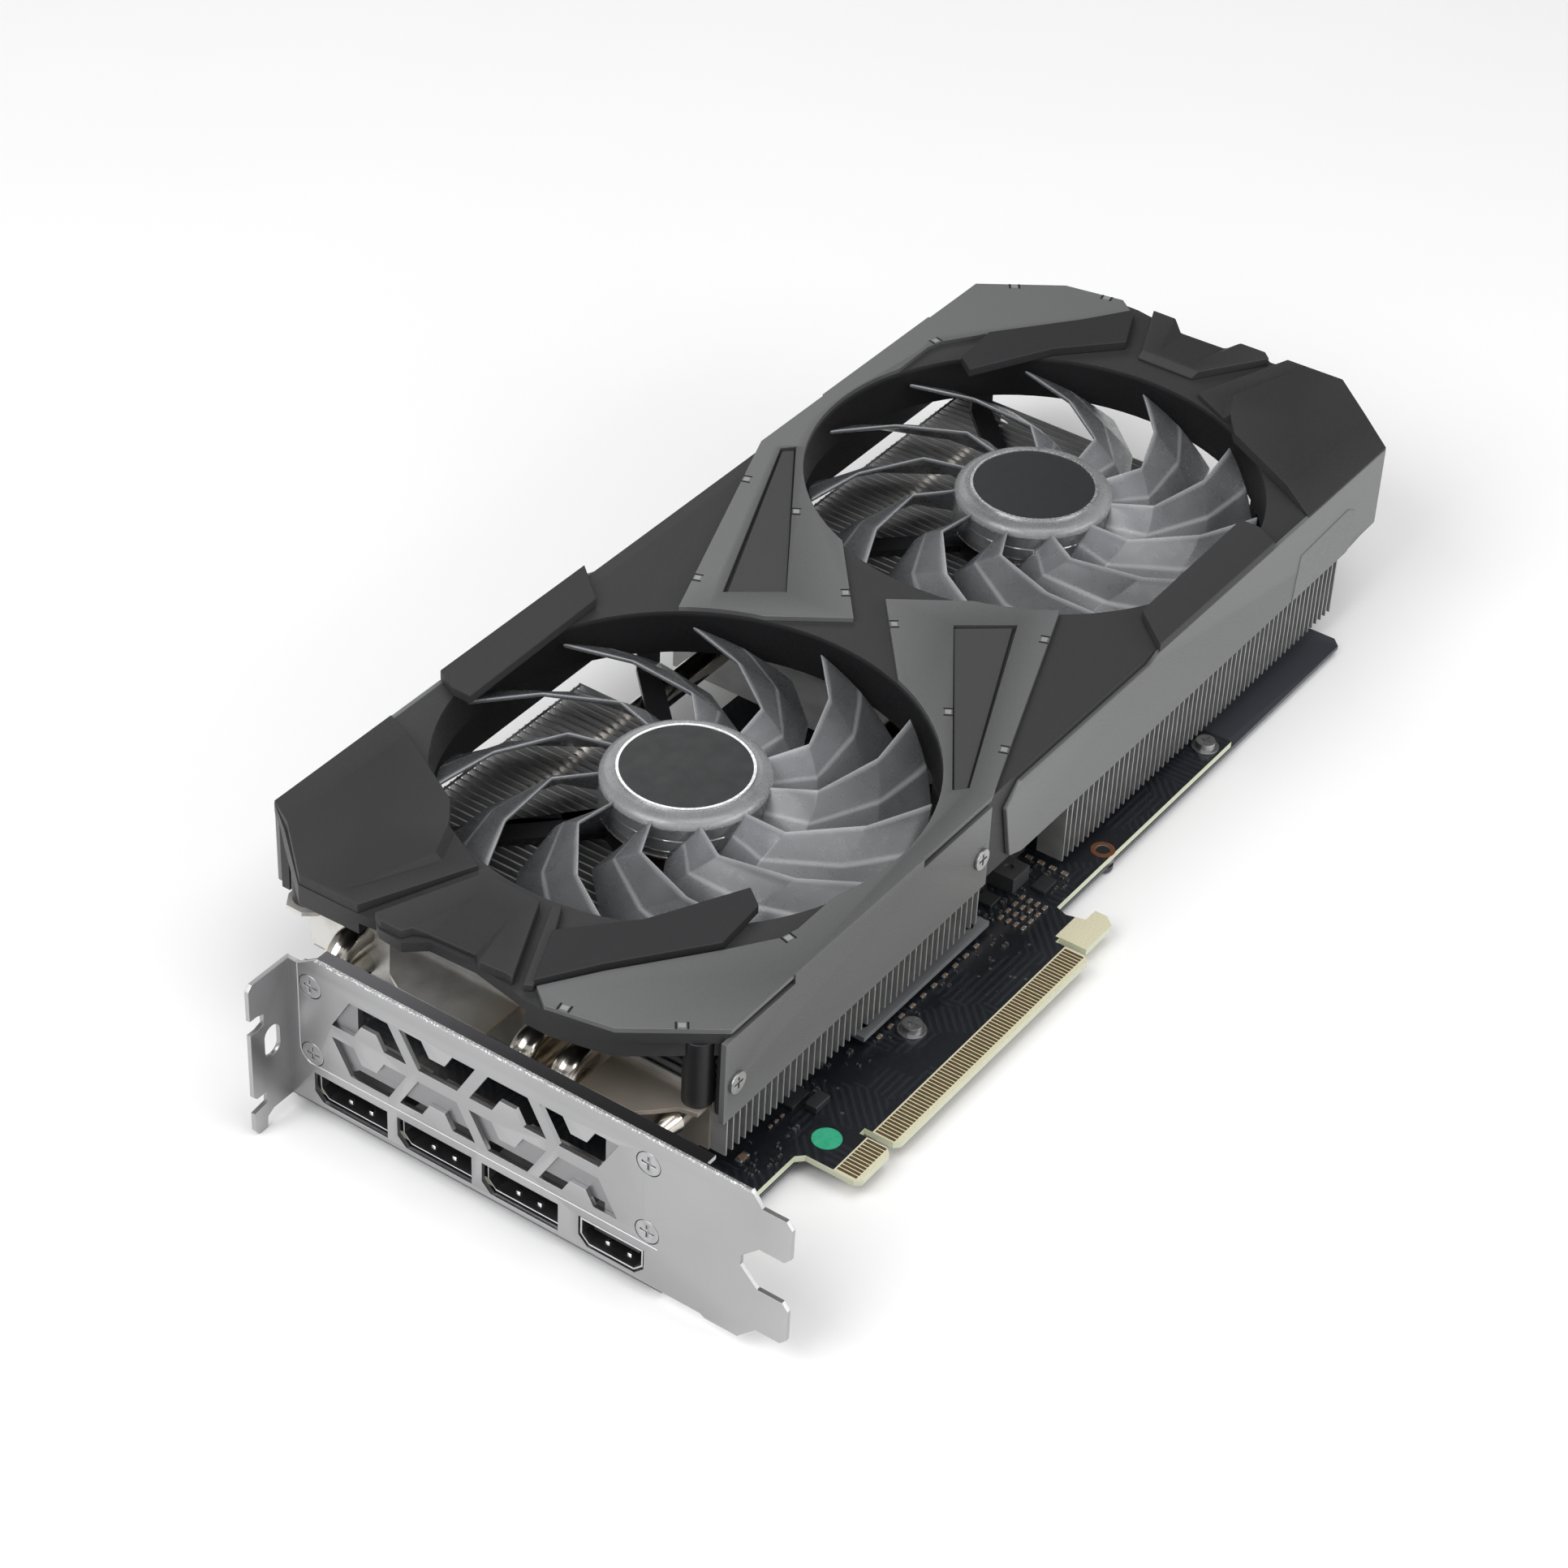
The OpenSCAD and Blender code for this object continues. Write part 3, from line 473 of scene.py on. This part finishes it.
MAT = {
    # the second colour is painted shade on the walls of the fan openings
    "shroud": shroud_plastic((0.020, 0.020, 0.021), (0.004, 0.004, 0.005)),
    "cover": moulded_plastic("cover_plastic", (0.021, 0.021, 0.022), 0.56, shine=0.3),
    "bar": moulded_plastic("bar_plastic", (0.015, 0.015, 0.016), 0.58, shine=0.28),
    "inset": moulded_plastic("inset_plastic", (0.030, 0.030, 0.031), 0.55, shine=0.28),
    "black": moulded_plastic("black_plastic", (0.008, 0.008, 0.009), 0.4, 1800, 0.2),
    "trim": metallic_paint("trim_paint", (0.070, 0.071, 0.072)),
    "side": metallic_paint("side_paint", (0.078, 0.079, 0.080)),
    "plate": metallic_paint("plate_paint", (0.028, 0.030, 0.036), 0.36),
    "frame": metallic_paint("frame_paint", (0.10, 0.105, 0.11), 0.38),
    "nickel": nickel("pipe_nickel", (0.74, 0.70, 0.63)),
    "sheet": sheet_with_painted_reflections(),
    "base": nickel("base_nickel", (0.66, 0.64, 0.60), 0.3, 0.2),
    "bracket": bracket_steel(),
    "stay": satin_steel("stay_steel", (0.24, 0.24, 0.245), 0.36),
    "shell": satin_steel("shell_steel", (0.5, 0.5, 0.51), 0.3, (300, 60, 60)),
    "screw": screw_metal("screw_nickel", (0.40, 0.40, 0.405), 0.3),
    "dark_screw": screw_metal("screw_black", (0.09, 0.09, 0.095), 0.35),
    "fin": fin_metal("fin_aluminium", (0.42, 0.42, 0.42)),
    "shaft": screw_metal("shaft_steel", (0.62, 0.63, 0.64), 0.2),
    "blade": frosted_plastic("blade_plastic", (0.17, 0.175, 0.185), 0.28, 0.66, centres=FAN_AXES),
    # the hub top's pale colour along its convex edges is a painted highlight
    "hub": frosted_plastic("hub_top_plastic", (0.40, 0.41, 0.42), 0.24, 0.7, (0.85, 0.86, 0.87)),
    "clear": clear_plastic("hub_plastic", (0.86, 0.87, 0.88)),
    "can": nickel("can_nickel", (0.80, 0.80, 0.81), 0.14),
    "copper": screw_metal("hole_copper", (0.55, 0.24, 0.13), 0.3),
    # near-black: painted shade in the slits of the trim
    "slit": moulded_plastic("slit_painted_shade", (0.004, 0.004, 0.004), 0.6),
    "film": printed_film("badge_film", (0.010, 0.011, 0.012)),
    "ring": screw_metal("ring_bright", (0.86, 0.87, 0.88), 0.18),
    "board": board_lacquer(),
    "gold": gold_plate(),
    "tab": metallic_paint("tab_paint", (0.13, 0.132, 0.135), 0.36),
    "sticker": sticker(),
    "wire": copper_wire(),
    "chip": ceramic("chip_green", (0.02, 0.05, 0.028)),
    "package": ceramic("package_black", (0.02, 0.021, 0.023)),
    "powder": ceramic("inductor_powder", (0.045, 0.046, 0.049)),
    "brown": ceramic("ceramic_brown", (0.16, 0.105, 0.065)),
    "pad": moulded_plastic("pad_silicone", (0.30, 0.32, 0.35), 0.7, 900, 0.3),
}

# what each node is finished with, and the radius of its rounded edges in mm
FINISH = {
    "circuit_board": ("board", 0.12), "edge_contacts": ("gold", 0), "backplate": ("plate", 0.3),
    "backplate_spacers": ("stay", 0.15), "backplate_screws": ("dark_screw", 0.15),
    "board_screws": ("screw", 0.18), "io_bracket": ("bracket", 0.22), "bracket_stay": ("stay", 0.2),
    "bracket_screws": ("screw", 0.16), "displayport_shells": ("shell", 0.12),
    "displayport_inserts": ("black", 0.12), "hdmi_shell": ("shell", 0.12), "hdmi_insert": ("black", 0.12),
    "graphics_chip": ("chip", 0.1), "memory_chips": ("package", 0.12), "power_inductors": ("powder", 0.3),
    "power_stages": ("package", 0.12), "capacitors": ("package", 0.3), "small_components": ("brown", 0.1),
    "power_socket": ("black", 0.25), "inspection_dot": ("sticker", 0), "thermal_pads": ("pad", 0.15),
    "base_frame": ("frame", 0.2), "cold_plate": ("base", 0.25), "heat_pipes": ("nickel", 0),
    "front_fins": ("fin", 0), "rear_fins": ("fin", 0), "fin_corner_plates": ("sheet", 0.2),
    "shroud_body": ("shroud", 0.3), "shroud_posts": ("black", 0.25), "corner_covers": ("cover", 0.35),
    "pointed_bars": ("bar", 0.3), "middle_plates": ("cover", 0.35), "edge_strips": ("cover", 0.3),
    "trim_sheets": ("trim", 0.28), "side_covers": ("side", 0.28), "triangle_inserts": ("inset", 0.25),
    "panel_screws": ("screw", 0.16), "fan_frames": ("black", 0.25),
    "front_fan_motor": ("wire", 0.2), "rear_fan_motor": ("wire", 0.2),
    "front_fan_shaft": ("shaft", 0.1), "rear_fan_shaft": ("shaft", 0.1),
    "front_fan_badge": ("film", 0), "rear_fan_badge": ("film", 0),
    "front_badge_ring": ("ring", 0), "rear_badge_ring": ("ring", 0),
    "front_fan_rotor": ("blade", 0), "rear_fan_rotor": ("blade", 0),
}


def soften(o, radius):
    """Rounds the sharp edges of a CAD node with modifiers, leaving its own mesh alone."""
    w = o.modifiers.new("weld", "WELD")
    w.merge_threshold = 2e-6
    d = o.modifiers.new("flats", "DECIMATE")
    d.decimate_type = "DISSOLVE"
    d.angle_limit = math.radians(0.6)
    b = o.modifiers.new("round", "BEVEL")
    b.width = radius * MM
    b.segments = 2
    b.limit_method = "ANGLE"
    b.angle_limit = math.radians(38)
    b.harden_normals = True
    o.modifiers.new("shading", "WEIGHTED_NORMAL").weight = 100


for name, (finish, radius) in FINISH.items():
    o = nodes[name]
    o.data.materials.clear()
    o.data.materials.append(MAT[finish])
    if radius:
        soften(o, radius)


# ---------------------------------------------------------------- mesh helpers

def piece(name, verts, faces, material, body, slot, smooth=True, bevel=0, angle=38, flat=True):
    me = bpy.data.meshes.new(name)
    me.from_pydata([tuple(v) for v in verts], [], faces)
    me.validate()
    bm = bmesh.new()
    bm.from_mesh(me)
    bmesh.ops.recalc_face_normals(bm, faces=bm.faces)
    bm.to_mesh(me)
    bm.free()
    me.materials.append(material)
    for p in me.polygons:
        p.use_smooth = smooth
    o = bpy.data.objects.new(name, me)
    bpy.context.scene.collection.objects.link(o)
    if bevel:
        b = o.modifiers.new("round", "BEVEL")
        b.width = bevel
        b.segments = 2
        b.limit_method = "ANGLE"
        b.angle_limit = math.radians(angle)
        if flat:
            o.modifiers.new("shading", "WEIGHTED_NORMAL")
    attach(o, body)
    return o


def islands(node):
    """The boxes (lowest, highest corner) of the separate solids in a CAD node."""
    me = nodes[node].data
    key, root = {}, {}
    index = [key.setdefault(tuple(round(c, 6) for c in v.co), len(key)) for v in me.vertices]

    def find(i):
        while root.setdefault(i, i) != i:
            i = root[i]
        return i
    for e in me.edges:
        a, b = find(index[e.vertices[0]]), find(index[e.vertices[1]])
        root[a] = b
    groups = {}
    for v, i in zip(me.vertices, index):
        groups.setdefault(find(i), []).append(v.co)
    return [(Vector(min(c[k] for c in g) for k in range(3)), Vector(max(c[k] for c in g) for k in range(3)))
            for g in groups.values()]


BOX_FACES = ((0, 2, 3, 1), (4, 5, 7, 6), (0, 1, 5, 4), (2, 6, 7, 3), (0, 4, 6, 2), (1, 3, 7, 5))


def block(verts, faces, lo, hi):
    n = len(verts)
    verts += [(x, y, z) for z in (lo[2], hi[2]) for y in (lo[1], hi[1]) for x in (lo[0], hi[0])]
    faces += [tuple(n + i for i in f) for f in BOX_FACES]


# ---------------------------------------------------------------- fans

def blade_mesh(verts, faces, cx, cy, turn, chord=6):
    """A thin sheet, straight between its stations, folded once along its middle."""
    rows = []
    for r, lead, trail, crease in STATIONS:
        row = []
        for side in (0, 1):
            for j in range(chord + 1):
                u = j / chord if side == 0 else 1 - j / chord
                a = math.radians(turn + lead + (trail - lead) * u)
                if u < 0.5:
                    z = LEAD_Z + (crease - LEAD_Z) * u * 2
                else:
                    z = crease + (TRAIL_Z - crease) * (u * 2 - 1)
                z -= BLADE_T * side
                row.append(len(verts))
                verts.append((cx + r * MM * math.cos(a), cy + r * MM * math.sin(a), z * MM))
        rows.append(row)
    n = len(rows[0])
    for a, b in zip(rows, rows[1:]):
        for k in range(n):
            faces.append((a[k], a[(k + 1) % n], b[(k + 1) % n], b[k]))
    for row in (rows[0], rows[-1]):
        for j in range(chord):
            faces.append((row[j], row[j + 1], row[n - 2 - j], row[n - 1 - j]))


def lathe(verts, faces, cx, cy, profile, steps=96):
    """A closed profile of (radius, height) in mm turned about the fan axis."""
    base = len(verts)
    for k in range(steps):
        a = 2 * math.pi * k / steps
        for r, z in profile:
            verts.append((cx + r * MM * math.cos(a), cy + r * MM * math.sin(a), z * MM))
    n = len(profile)
    for k in range(steps):
        for i in range(n):
            a, b = base + k * n, base + (k + 1) % steps * n
            faces.append((a + i, a + (i + 1) % n, b + (i + 1) % n, b + i))


def fan(which):
    node, body = which + "_fan_rotor", which + "_fan"
    c = centre(which + "_fan_shaft")
    verts, faces = [], []
    for k in range(BLADES):
        blade_mesh(verts, faces, c.x, c.y, 1.1 + 360 / BLADES * k)
    blades = piece(which + "_blades", verts, faces, MAT["blade"], body, "fan_rotor", bevel=0.4 * MM, angle=7,
                   flat=False)
    # cup: frosted top with a rounded rim, clear skirt
    verts, faces = [], []
    lathe(verts, faces, c.x, c.y, HUB_TOP)
    top = piece(which + "_hub_top", verts, faces, MAT["hub"], body, "fan_rotor", bevel=0.12 * MM)
    verts, faces = [], []
    lathe(verts, faces, c.x, c.y, HUB_SKIRT)
    skirt = piece(which + "_hub_skirt", verts, faces, MAT["clear"], body, "fan_rotor", bevel=0.1 * MM)
    verts, faces = [], []
    lathe(verts, faces, c.x, c.y, ROTOR_CAN)
    piece(which + "_rotor_can", verts, faces, MAT["can"], body, "fan_shaft", bevel=0.1 * MM)
    for o in (blades, top, skirt):
        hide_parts(node)


fan("front")
fan("rear")


# ---------------------------------------------------------------- small parts on the board

def surface_parts():
    bodies, ends = ([], []), ([], [])
    for lo, hi in islands("small_components"):
        size = hi - lo
        k = 0 if size.x >= size.y else 1
        cap = size[k] * 0.24
        inner_lo, inner_hi = lo.copy(), hi.copy()
        inner_lo[k] += cap
        inner_hi[k] -= cap
        inner_hi[2] -= 0.03 * MM
        block(*bodies, inner_lo, inner_hi)
        for a, b in ((lo[k], lo[k] + cap), (hi[k] - cap, hi[k])):
            e_lo, e_hi = lo.copy(), hi.copy()
            e_lo[k], e_hi[k] = a, b
            block(*ends, e_lo, e_hi)
    b = piece("smd_bodies", *bodies, MAT["brown"], "card", "small_components", bevel=0.05 * MM)
    e = piece("smd_ends", *ends, MAT["screw"], "card", "small_components", bevel=0.08 * MM)
    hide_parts("small_components")
    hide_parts("small_components")


surface_parts()


def socket_contacts():
    """A row of contacts on the tongue of each display socket, and two sprung latches on its floor."""
    rows, latches = ([], []), ([], [])
    for node, count, w, pitch in (("displayport_inserts", 10, 0.45, 1.05), ("hdmi_insert", 9, 0.4, 1.0)):
        for lo, hi in islands(node):
            mid, port = (lo.y + hi.y) / 2, (lo.z + hi.z) / 2
            top = port + (1.5 if node[0] == "d" else 1.0) * MM
            front = lo.x
            for i in range(count):
                y = mid + (i - (count - 1) / 2) * pitch * MM
                block(*rows, (front + 0.5 * MM, y - w / 2 * MM, top - 0.05 * MM),
                      (front + 7 * MM, y + w / 2 * MM, top + 0.06 * MM))
            for k in (-2.6, 2.6):
                y = mid + k * MM
                floor_z = port - (2.8 if node[0] == "d" else 2.7) * MM
                block(*latches, (front + 0.5 * MM, y - 0.5 * MM, floor_z),
                      (front + 1.5 * MM, y + 0.5 * MM, floor_z + 0.4 * MM))
    piece("socket_contacts", *rows, MAT["gold"], "card", "displayport_shells", bevel=0.03 * MM)
    piece("socket_latches", *latches, MAT["ring"], "card", "displayport_shells", bevel=0.08 * MM)


socket_contacts()


# ---------------------------------------------------------------- raised covers

COVER_BASE = 38.8  # height of the undersides, in mm


def turned(p):
    """A point of the front half carried to the rear half, half a turn about the card's centre."""
    return (200 - p[0], 154 - p[1], p[2])


def terrace(name, points, tops, base, material, slot, rear=False, bevel=0.22):
    """A closed relief: top faces over named points (mm), walls down to the base, and an underside."""
    pts = {k: (turned(v) if rear else v) for k, v in points.items()}
    keys = list(pts)
    verts = [tuple(c * MM for c in pts[k]) for k in keys]
    verts += [(pts[k][0] * MM, pts[k][1] * MM, base * MM) for k in keys]
    n = len(keys)
    at = {k: i for i, k in enumerate(keys)}
    up = [tuple(at[k] for k in f.split()) for f in tops]
    count = {}
    for f in up:
        for i in range(len(f)):
            e = frozenset((f[i], f[(i + 1) % len(f)]))
            count[e] = count.get(e, 0) + 1
    faces = list(up) + [tuple(i + n for i in reversed(f)) for f in up]
    for f in up:
        for i in range(len(f)):
            a, b = f[i], f[(i + 1) % len(f)]
            if count[frozenset((a, b))] == 1:
                faces.append((b, a, a + n, b + n))
    return piece(name, verts, faces, MAT[material], "card", slot, bevel=bevel * MM, angle=8)


CORNER = {
    "a": (-44.9, 98.2, 41.1), "b": (-20.1, 88.2, 40.1), "c": (-14.9, 98.4, 39.9), "w": (-41, 101.9, 41.3),
    "l": (-23.5, 94.7, 40.2), "u": (-23.3, 96.5, 41.4), "v": (-15.1, 99.9, 41.4), "d": (-14, 100.5, 41.3),
    "e": (-8.6, 104.6, 41.4), "f": (2.9, 125.2, 41.4), "g": (7.8, 133.8, 39.2), "h": (-28.6, 133.8, 39.2),
    "i": (-34.2, 125.4, 41.4), "j": (-45.2, 112.9, 41.3), "r": (-23, 112.5, 41.1), "s": (-3.5, 125.3, 41.35)}
CORNER_TOPS = ("a b l w", "b c l", "l c v u", "l u w", "a w u r j", "u v d e r", "e f s r", "s i j r",
               "f g h i s")


def corner_cover(rear):
    name = "rear_corner_cover" if rear else "front_corner_cover"
    cover = terrace(name, CORNER, CORNER_TOPS, COVER_BASE, "cover", "corner_covers", rear)
    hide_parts("corner_covers")


corner_cover(False)
corner_cover(True)


FRONT_WEDGE = {
    "a": (-44.6, 94.2, 41), "b": (-45.8, 91.8, 41), "c": (-45.7, 86.6, 41), "d": (-43.6, 85.6, 41),
    "e": (-42.2, 82.5, 39.9), "f": (-41.4, 71.8, 39.9), "g": (-43.6, 69.2, 41), "h": (-43.0, 63.3, 41),
    "i": (-43.2, 61.4, 41), "j": (-22, 71.4, 41), "k": (-21.6, 85, 41), "m": (-30.4, 82, 41),
    "n": (-30.7, 72.3, 41)}
FRONT_TOPS = ("a b c d m k", "d e m", "e f n m", "f g n", "g h i j n", "m n j k")
REAR_WEDGE = {
    "a": (244.3, 92.5, 40.9), "b": (244.4, 86.4, 40.9), "c": (240.8, 82.5, 39.8), "d": (241.3, 70.9, 39.8),
    "e": (244.6, 68.4, 40.9), "f": (244.8, 61.8, 40.9), "g": (242.9, 59.7, 40.9), "h": (227, 69.8, 40.9),
    "i": (226.9, 85.3, 40.9), "j": (225.6, 70.7, 39.4), "k": (225.5, 85.5, 39.4), "m": (230, 82, 40.9),
    "n": (230, 72, 40.9)}
REAR_TOPS = ("a i m b", "b m c", "c m n d", "d n e", "e n h g f", "m i h n", "i k j h")


def wedges():
    front = terrace("front_wedge", FRONT_WEDGE, FRONT_TOPS, COVER_BASE, "cover", "middle_plates")
    rear = terrace("rear_wedge", REAR_WEDGE, REAR_TOPS, COVER_BASE, "cover", "middle_plates")
    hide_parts("middle_plates")
    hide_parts("middle_plates")
    # the narrow step beside the front wedge, with a dark groove between the two
    pts = {"a": (-43.2, 58.9, 40.5), "b": (-21, 69.2, 40.5), "c": (-20, 67.5, 40.5), "d": (-29, 62.7, 40.5),
           "e": (-42.2, 57.2, 40.5)}
    step = terrace("front_step", pts, ("a e d c b",), COVER_BASE, "cover", "middle_plates")
    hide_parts("middle_plates")


wedges()


def clips():
    """Pairs of short slits in the trim's edge, each with a small bent tab between them; the slits are
    near-black bars, darker than the black plastic beneath them, as painted shade.
    """
    slits, tabs = ([], []), ([], [])
    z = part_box("trim_sheets")[1].z
    # place (mm) and run of the edge (degrees), on the front half
    marks = ((-43.2, 48.9, 102), (-33.6, 28.5, 127), (-0.5, 27.4, -14), (98.5, 69.6, 39), (113.9, 41.2, 21),
             (75.9, 27.0, 21), (79.5, 43.2, 33))
    for x, y, turn in marks:
        for rear in (False, True):
            a = math.radians(turn + (180 if rear else 0))
            px, py = (200 - x, 154 - y) if rear else (x, y)
            for k in (-1.15, 1.15):
                thin_bar(*slits, px * MM, py * MM, z, a, 0.45, 2.0, k)
            thin_bar(*tabs, px * MM, py * MM, z, a, 1.5, 1.3, 0, 0.06 * MM)
    # the near-black of the slits is painted shade in the openings over the black plastic beneath
    piece("clip_slits", *slits, MAT["slit"], "card", "trim_sheets", smooth=False)
    piece("clip_tabs", *tabs, MAT["tab"], "card", "trim_sheets", smooth=False)


def thin_bar(verts, faces, x, y, z, a, w, length, shift, up=0.04 * MM):
    """A thin bar of width w and the given length (mm), turned by a, moved sideways by shift."""
    n = len(verts)
    ux, uy = math.cos(a), math.sin(a)
    for dz in (-0.3 * MM, up):
        for s in (-1, 1):
            for t in (-1, 1):
                u, v = (shift + s * w / 2) * MM, t * length / 2 * MM
                verts.append((x + u * ux - v * uy, y + u * uy + v * ux, z + dz))
    faces += [tuple(n + i for i in f) for f in BOX_FACES]


clips()


HOLE = (105.1, 16.8)  # the mounting hole on the near edge of the board, in mm


def hole_ring():
    """The copper ring round the mounting hole."""
    verts, faces = [], []
    lathe(verts, faces, HOLE[0] * MM, HOLE[1] * MM, [(1.65, 0), (2.7, 0), (2.7, 0.05), (1.65, 0.05)], 48)
    piece("hole_ring", verts, faces, MAT["copper"], "card", "edge_contacts", smooth=False)


hole_ring()


def tiny_parts():
    """Rows of very small chip parts on the open strip of the board."""
    pick = random.Random(7)
    taken = [b for n in ("small_components", "power_inductors", "power_stages", "capacitors", "base_frame",
                         "board_screws", "inspection_dot") for b in islands(n)]
    taken += [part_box(n) for n in ("front_fins", "rear_fins")]
    bodies, ends = ([], []), ([], [])
    # lowest and highest x, lowest and highest y, and how many are tried
    areas = ((63, 92, 15.4, 31.5, 150), (-24, -8, 15.6, 20.2, 14), (-22, 18, 20.6, 25.5, 20),
             (14, 60, 17.8, 20.4, 12))
    for x0, x1, y0, y1, count in areas:
        for _ in range(count):
            w, h = pick.choice(((1.0, 0.5), (0.6, 0.3), (1.6, 0.8), (0.5, 1.0), (0.3, 0.6)))
            x, y = round(pick.uniform(x0, x1) * 2) / 2, round(pick.uniform(y0, y1) * 1.6) / 1.6
            lo = Vector((x, y, 0)) * MM
            hi = Vector((x + w, y + h, min(w, h) * 0.8)) * MM
            gap = 0.25 * MM
            near_hole = Vector((x - HOLE[0], y - HOLE[1])).length < 4
            if near_hole or any(lo.x - gap < b.x and hi.x + gap > a.x and lo.y - gap < b.y
                                and hi.y + gap > a.y and a.z < hi.z for a, b in taken):
                continue
            taken.append((lo, hi))
            k = 0 if w > h else 1
            cap = max(w, h) * 0.28 * MM
            m_lo, m_hi = lo.copy(), hi.copy()
            m_lo[k] += cap
            m_hi[k] -= cap
            block(*bodies, m_lo, m_hi)
            for p, q in ((lo[k], lo[k] + cap), (hi[k] - cap, hi[k])):
                e_lo, e_hi = lo.copy(), hi.copy()
                e_lo[k], e_hi[k] = p, q
                block(*ends, e_lo, e_hi)
    piece("tiny_bodies", *bodies, MAT["package"], "card", "small_components", smooth=False)
    piece("tiny_ends", *ends, MAT["screw"], "card", "small_components", smooth=False)


tiny_parts()


def side_relief():
    """The raised field on each side cover."""
    y0, y1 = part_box("side_covers")[0].y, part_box("side_covers")[1].y
    inset, rise = 0.2 * MM, 0.45 * MM
    outline = ((189, 17.6), (190.5, 29.4), (212.3, 30.6), (216, 28.6), (218.5, 21), (214.5, 17.6))
    for rear in (False, True):
        verts, faces = [], []
        n = len(outline)
        for dy in (0, rise):
            for x, z in outline:
                px, py = ((200 - x) * MM, y1 + dy - inset) if rear else (x * MM, y0 - dy + inset)
                verts.append((px, py, z * MM))
        faces += [tuple(range(n)), tuple(range(2 * n - 1, n - 1, -1))]
        faces += [(i, (i + 1) % n, n + (i + 1) % n, n + i) for i in range(n)]
        piece("side_relief_rear" if rear else "side_relief", verts, faces, MAT["side"], "card", "side_covers",
              bevel=0.2 * MM)


side_relief()


def bracket_fold():
    """The fine pressed line that borders the vented field of the bracket."""
    verts, faces = [], []
    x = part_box("bracket_stay")[0].x - 1 * MM
    bend, low = 3.5, 9
    corner = [(98.6 + bend * math.sin(math.radians(a)), low + bend - bend * math.cos(math.radians(a)))
              for a in range(15, 91, 15)]
    line = [(14.7, low), (98.6, low)] + corner + [(102.1, 34)]
    w, rise, root = 0.14, 0.12, 0.1
    for i, (y, z) in enumerate(line):
        a, b = line[max(i - 1, 0)], line[min(i + 1, len(line) - 1)]
        d = math.hypot(b[0] - a[0], b[1] - a[1])
        ny, nz = -(b[1] - a[1]) / d, (b[0] - a[0]) / d
        for k, up in ((-w, 0), (0, rise), (w, 0)):
            verts.append((x - up * MM, (y + ny * k) * MM, (z + nz * k) * MM))
        verts.append((x + root * MM, y * MM, z * MM))
    for i in range(len(line) - 1):
        for p, q in ((0, 1), (1, 2), (2, 3), (3, 0)):
            faces.append((4 * i + p, 4 * i + q, 4 * i + 4 + q, 4 * i + 4 + p))
    n = 4 * (len(line) - 1)
    faces += [(0, 1, 2, 3), (n, n + 1, n + 2, n + 3)]
    piece("bracket_fold", verts, faces, MAT["bracket"], "card", "io_bracket", smooth=False)


bracket_fold()


# ---------------------------------------------------------------- stage, camera, light

def floor():
    z = cad_lo.z - 0.0002
    s = Shader("floor_paper", (0.9, 0.9, 0.9), rough=0.85)
    s.colour(s.mix(s.noise(14, 3), (0.89, 0.89, 0.89), (0.91, 0.91, 0.91)))
    me = bpy.data.meshes.new("floor")
    me.from_pydata([(-6, -6, z), (6, -6, z), (6, 6, z), (-6, 6, z)], [], [(0, 1, 2, 3)])
    me.materials.append(s.m)
    o = bpy.data.objects.new("floor", me)
    bpy.context.scene.collection.objects.link(o)


def camera():
    right, down, ahead = (Vector(v).normalized() for v in (
        (0.5774, -0.81543, 0.04112), (-0.48371, -0.38222, -0.78736), (0.65775, 0.43473, -0.61512)))
    data = bpy.data.cameras.new("camera")
    data.sensor_width = 36
    data.lens = 90.13
    data.clip_start, data.clip_end = 0.01, 50
    o = bpy.data.objects.new("camera", data)
    m = Matrix((right, -down, -ahead)).transposed().to_4x4()
    m.translation = Vector((-0.4853, -0.2901, 0.5297))
    o.matrix_world = m
    bpy.context.scene.collection.objects.link(o)
    bpy.context.scene.camera = o


def lamp(name, place, size, power, aim=(0.09, 0.075, 0.02)):
    data = bpy.data.lights.new(name, "AREA")
    data.shape = "RECTANGLE"
    data.size, data.size_y = size
    data.energy = power
    o = bpy.data.objects.new(name, data)
    o.location = place
    o.rotation_mode = "QUATERNION"
    o.rotation_quaternion = (Vector(aim) - Vector(place)).to_track_quat("-Z", "Y")
    bpy.context.scene.collection.objects.link(o)


def studio_world():
    """White all round, falling off to a dark ceiling behind the card."""
    world = bpy.data.worlds.new("studio")
    world.use_nodes = True
    t = world.node_tree
    back = t.nodes["Background"]
    back.inputs["Color"].default_value = (1, 1, 1, 1)
    co = t.nodes.new("ShaderNodeTexCoord")
    dot = t.nodes.new("ShaderNodeVectorMath")
    dot.operation = "DOT_PRODUCT"
    dot.inputs[1].default_value = (0.62, 0.42, 0.66)
    t.links.new(co.outputs["Generated"], dot.inputs[0])
    fall = t.nodes.new("ShaderNodeMapRange")
    fall.interpolation_type = "SMOOTHSTEP"
    for k, v in (("From Min", 0.1), ("From Max", 0.95), ("To Min", 0.62), ("To Max", 0.1)):
        fall.inputs[k].default_value = v
    t.links.new(dot.outputs["Value"], fall.inputs["Value"])
    t.links.new(fall.outputs["Result"], back.inputs["Strength"])
    bpy.context.scene.world = world


def lights():
    studio_world()
    lamp("key", (-0.75, 0.25, 0.85), (0.8, 0.8), 9)
    lamp("top", (0.05, -0.25, 1.1), (0.7, 0.7), 4.5)
    lamp("right", (0.35, -1.0, 0.5), (0.9, 0.5), 5)
    lamp("back", (0.7, 0.9, 0.7), (0.8, 0.5), 2)


floor()
camera()
lights()
bpy.context.scene.view_settings.view_transform = "Standard"
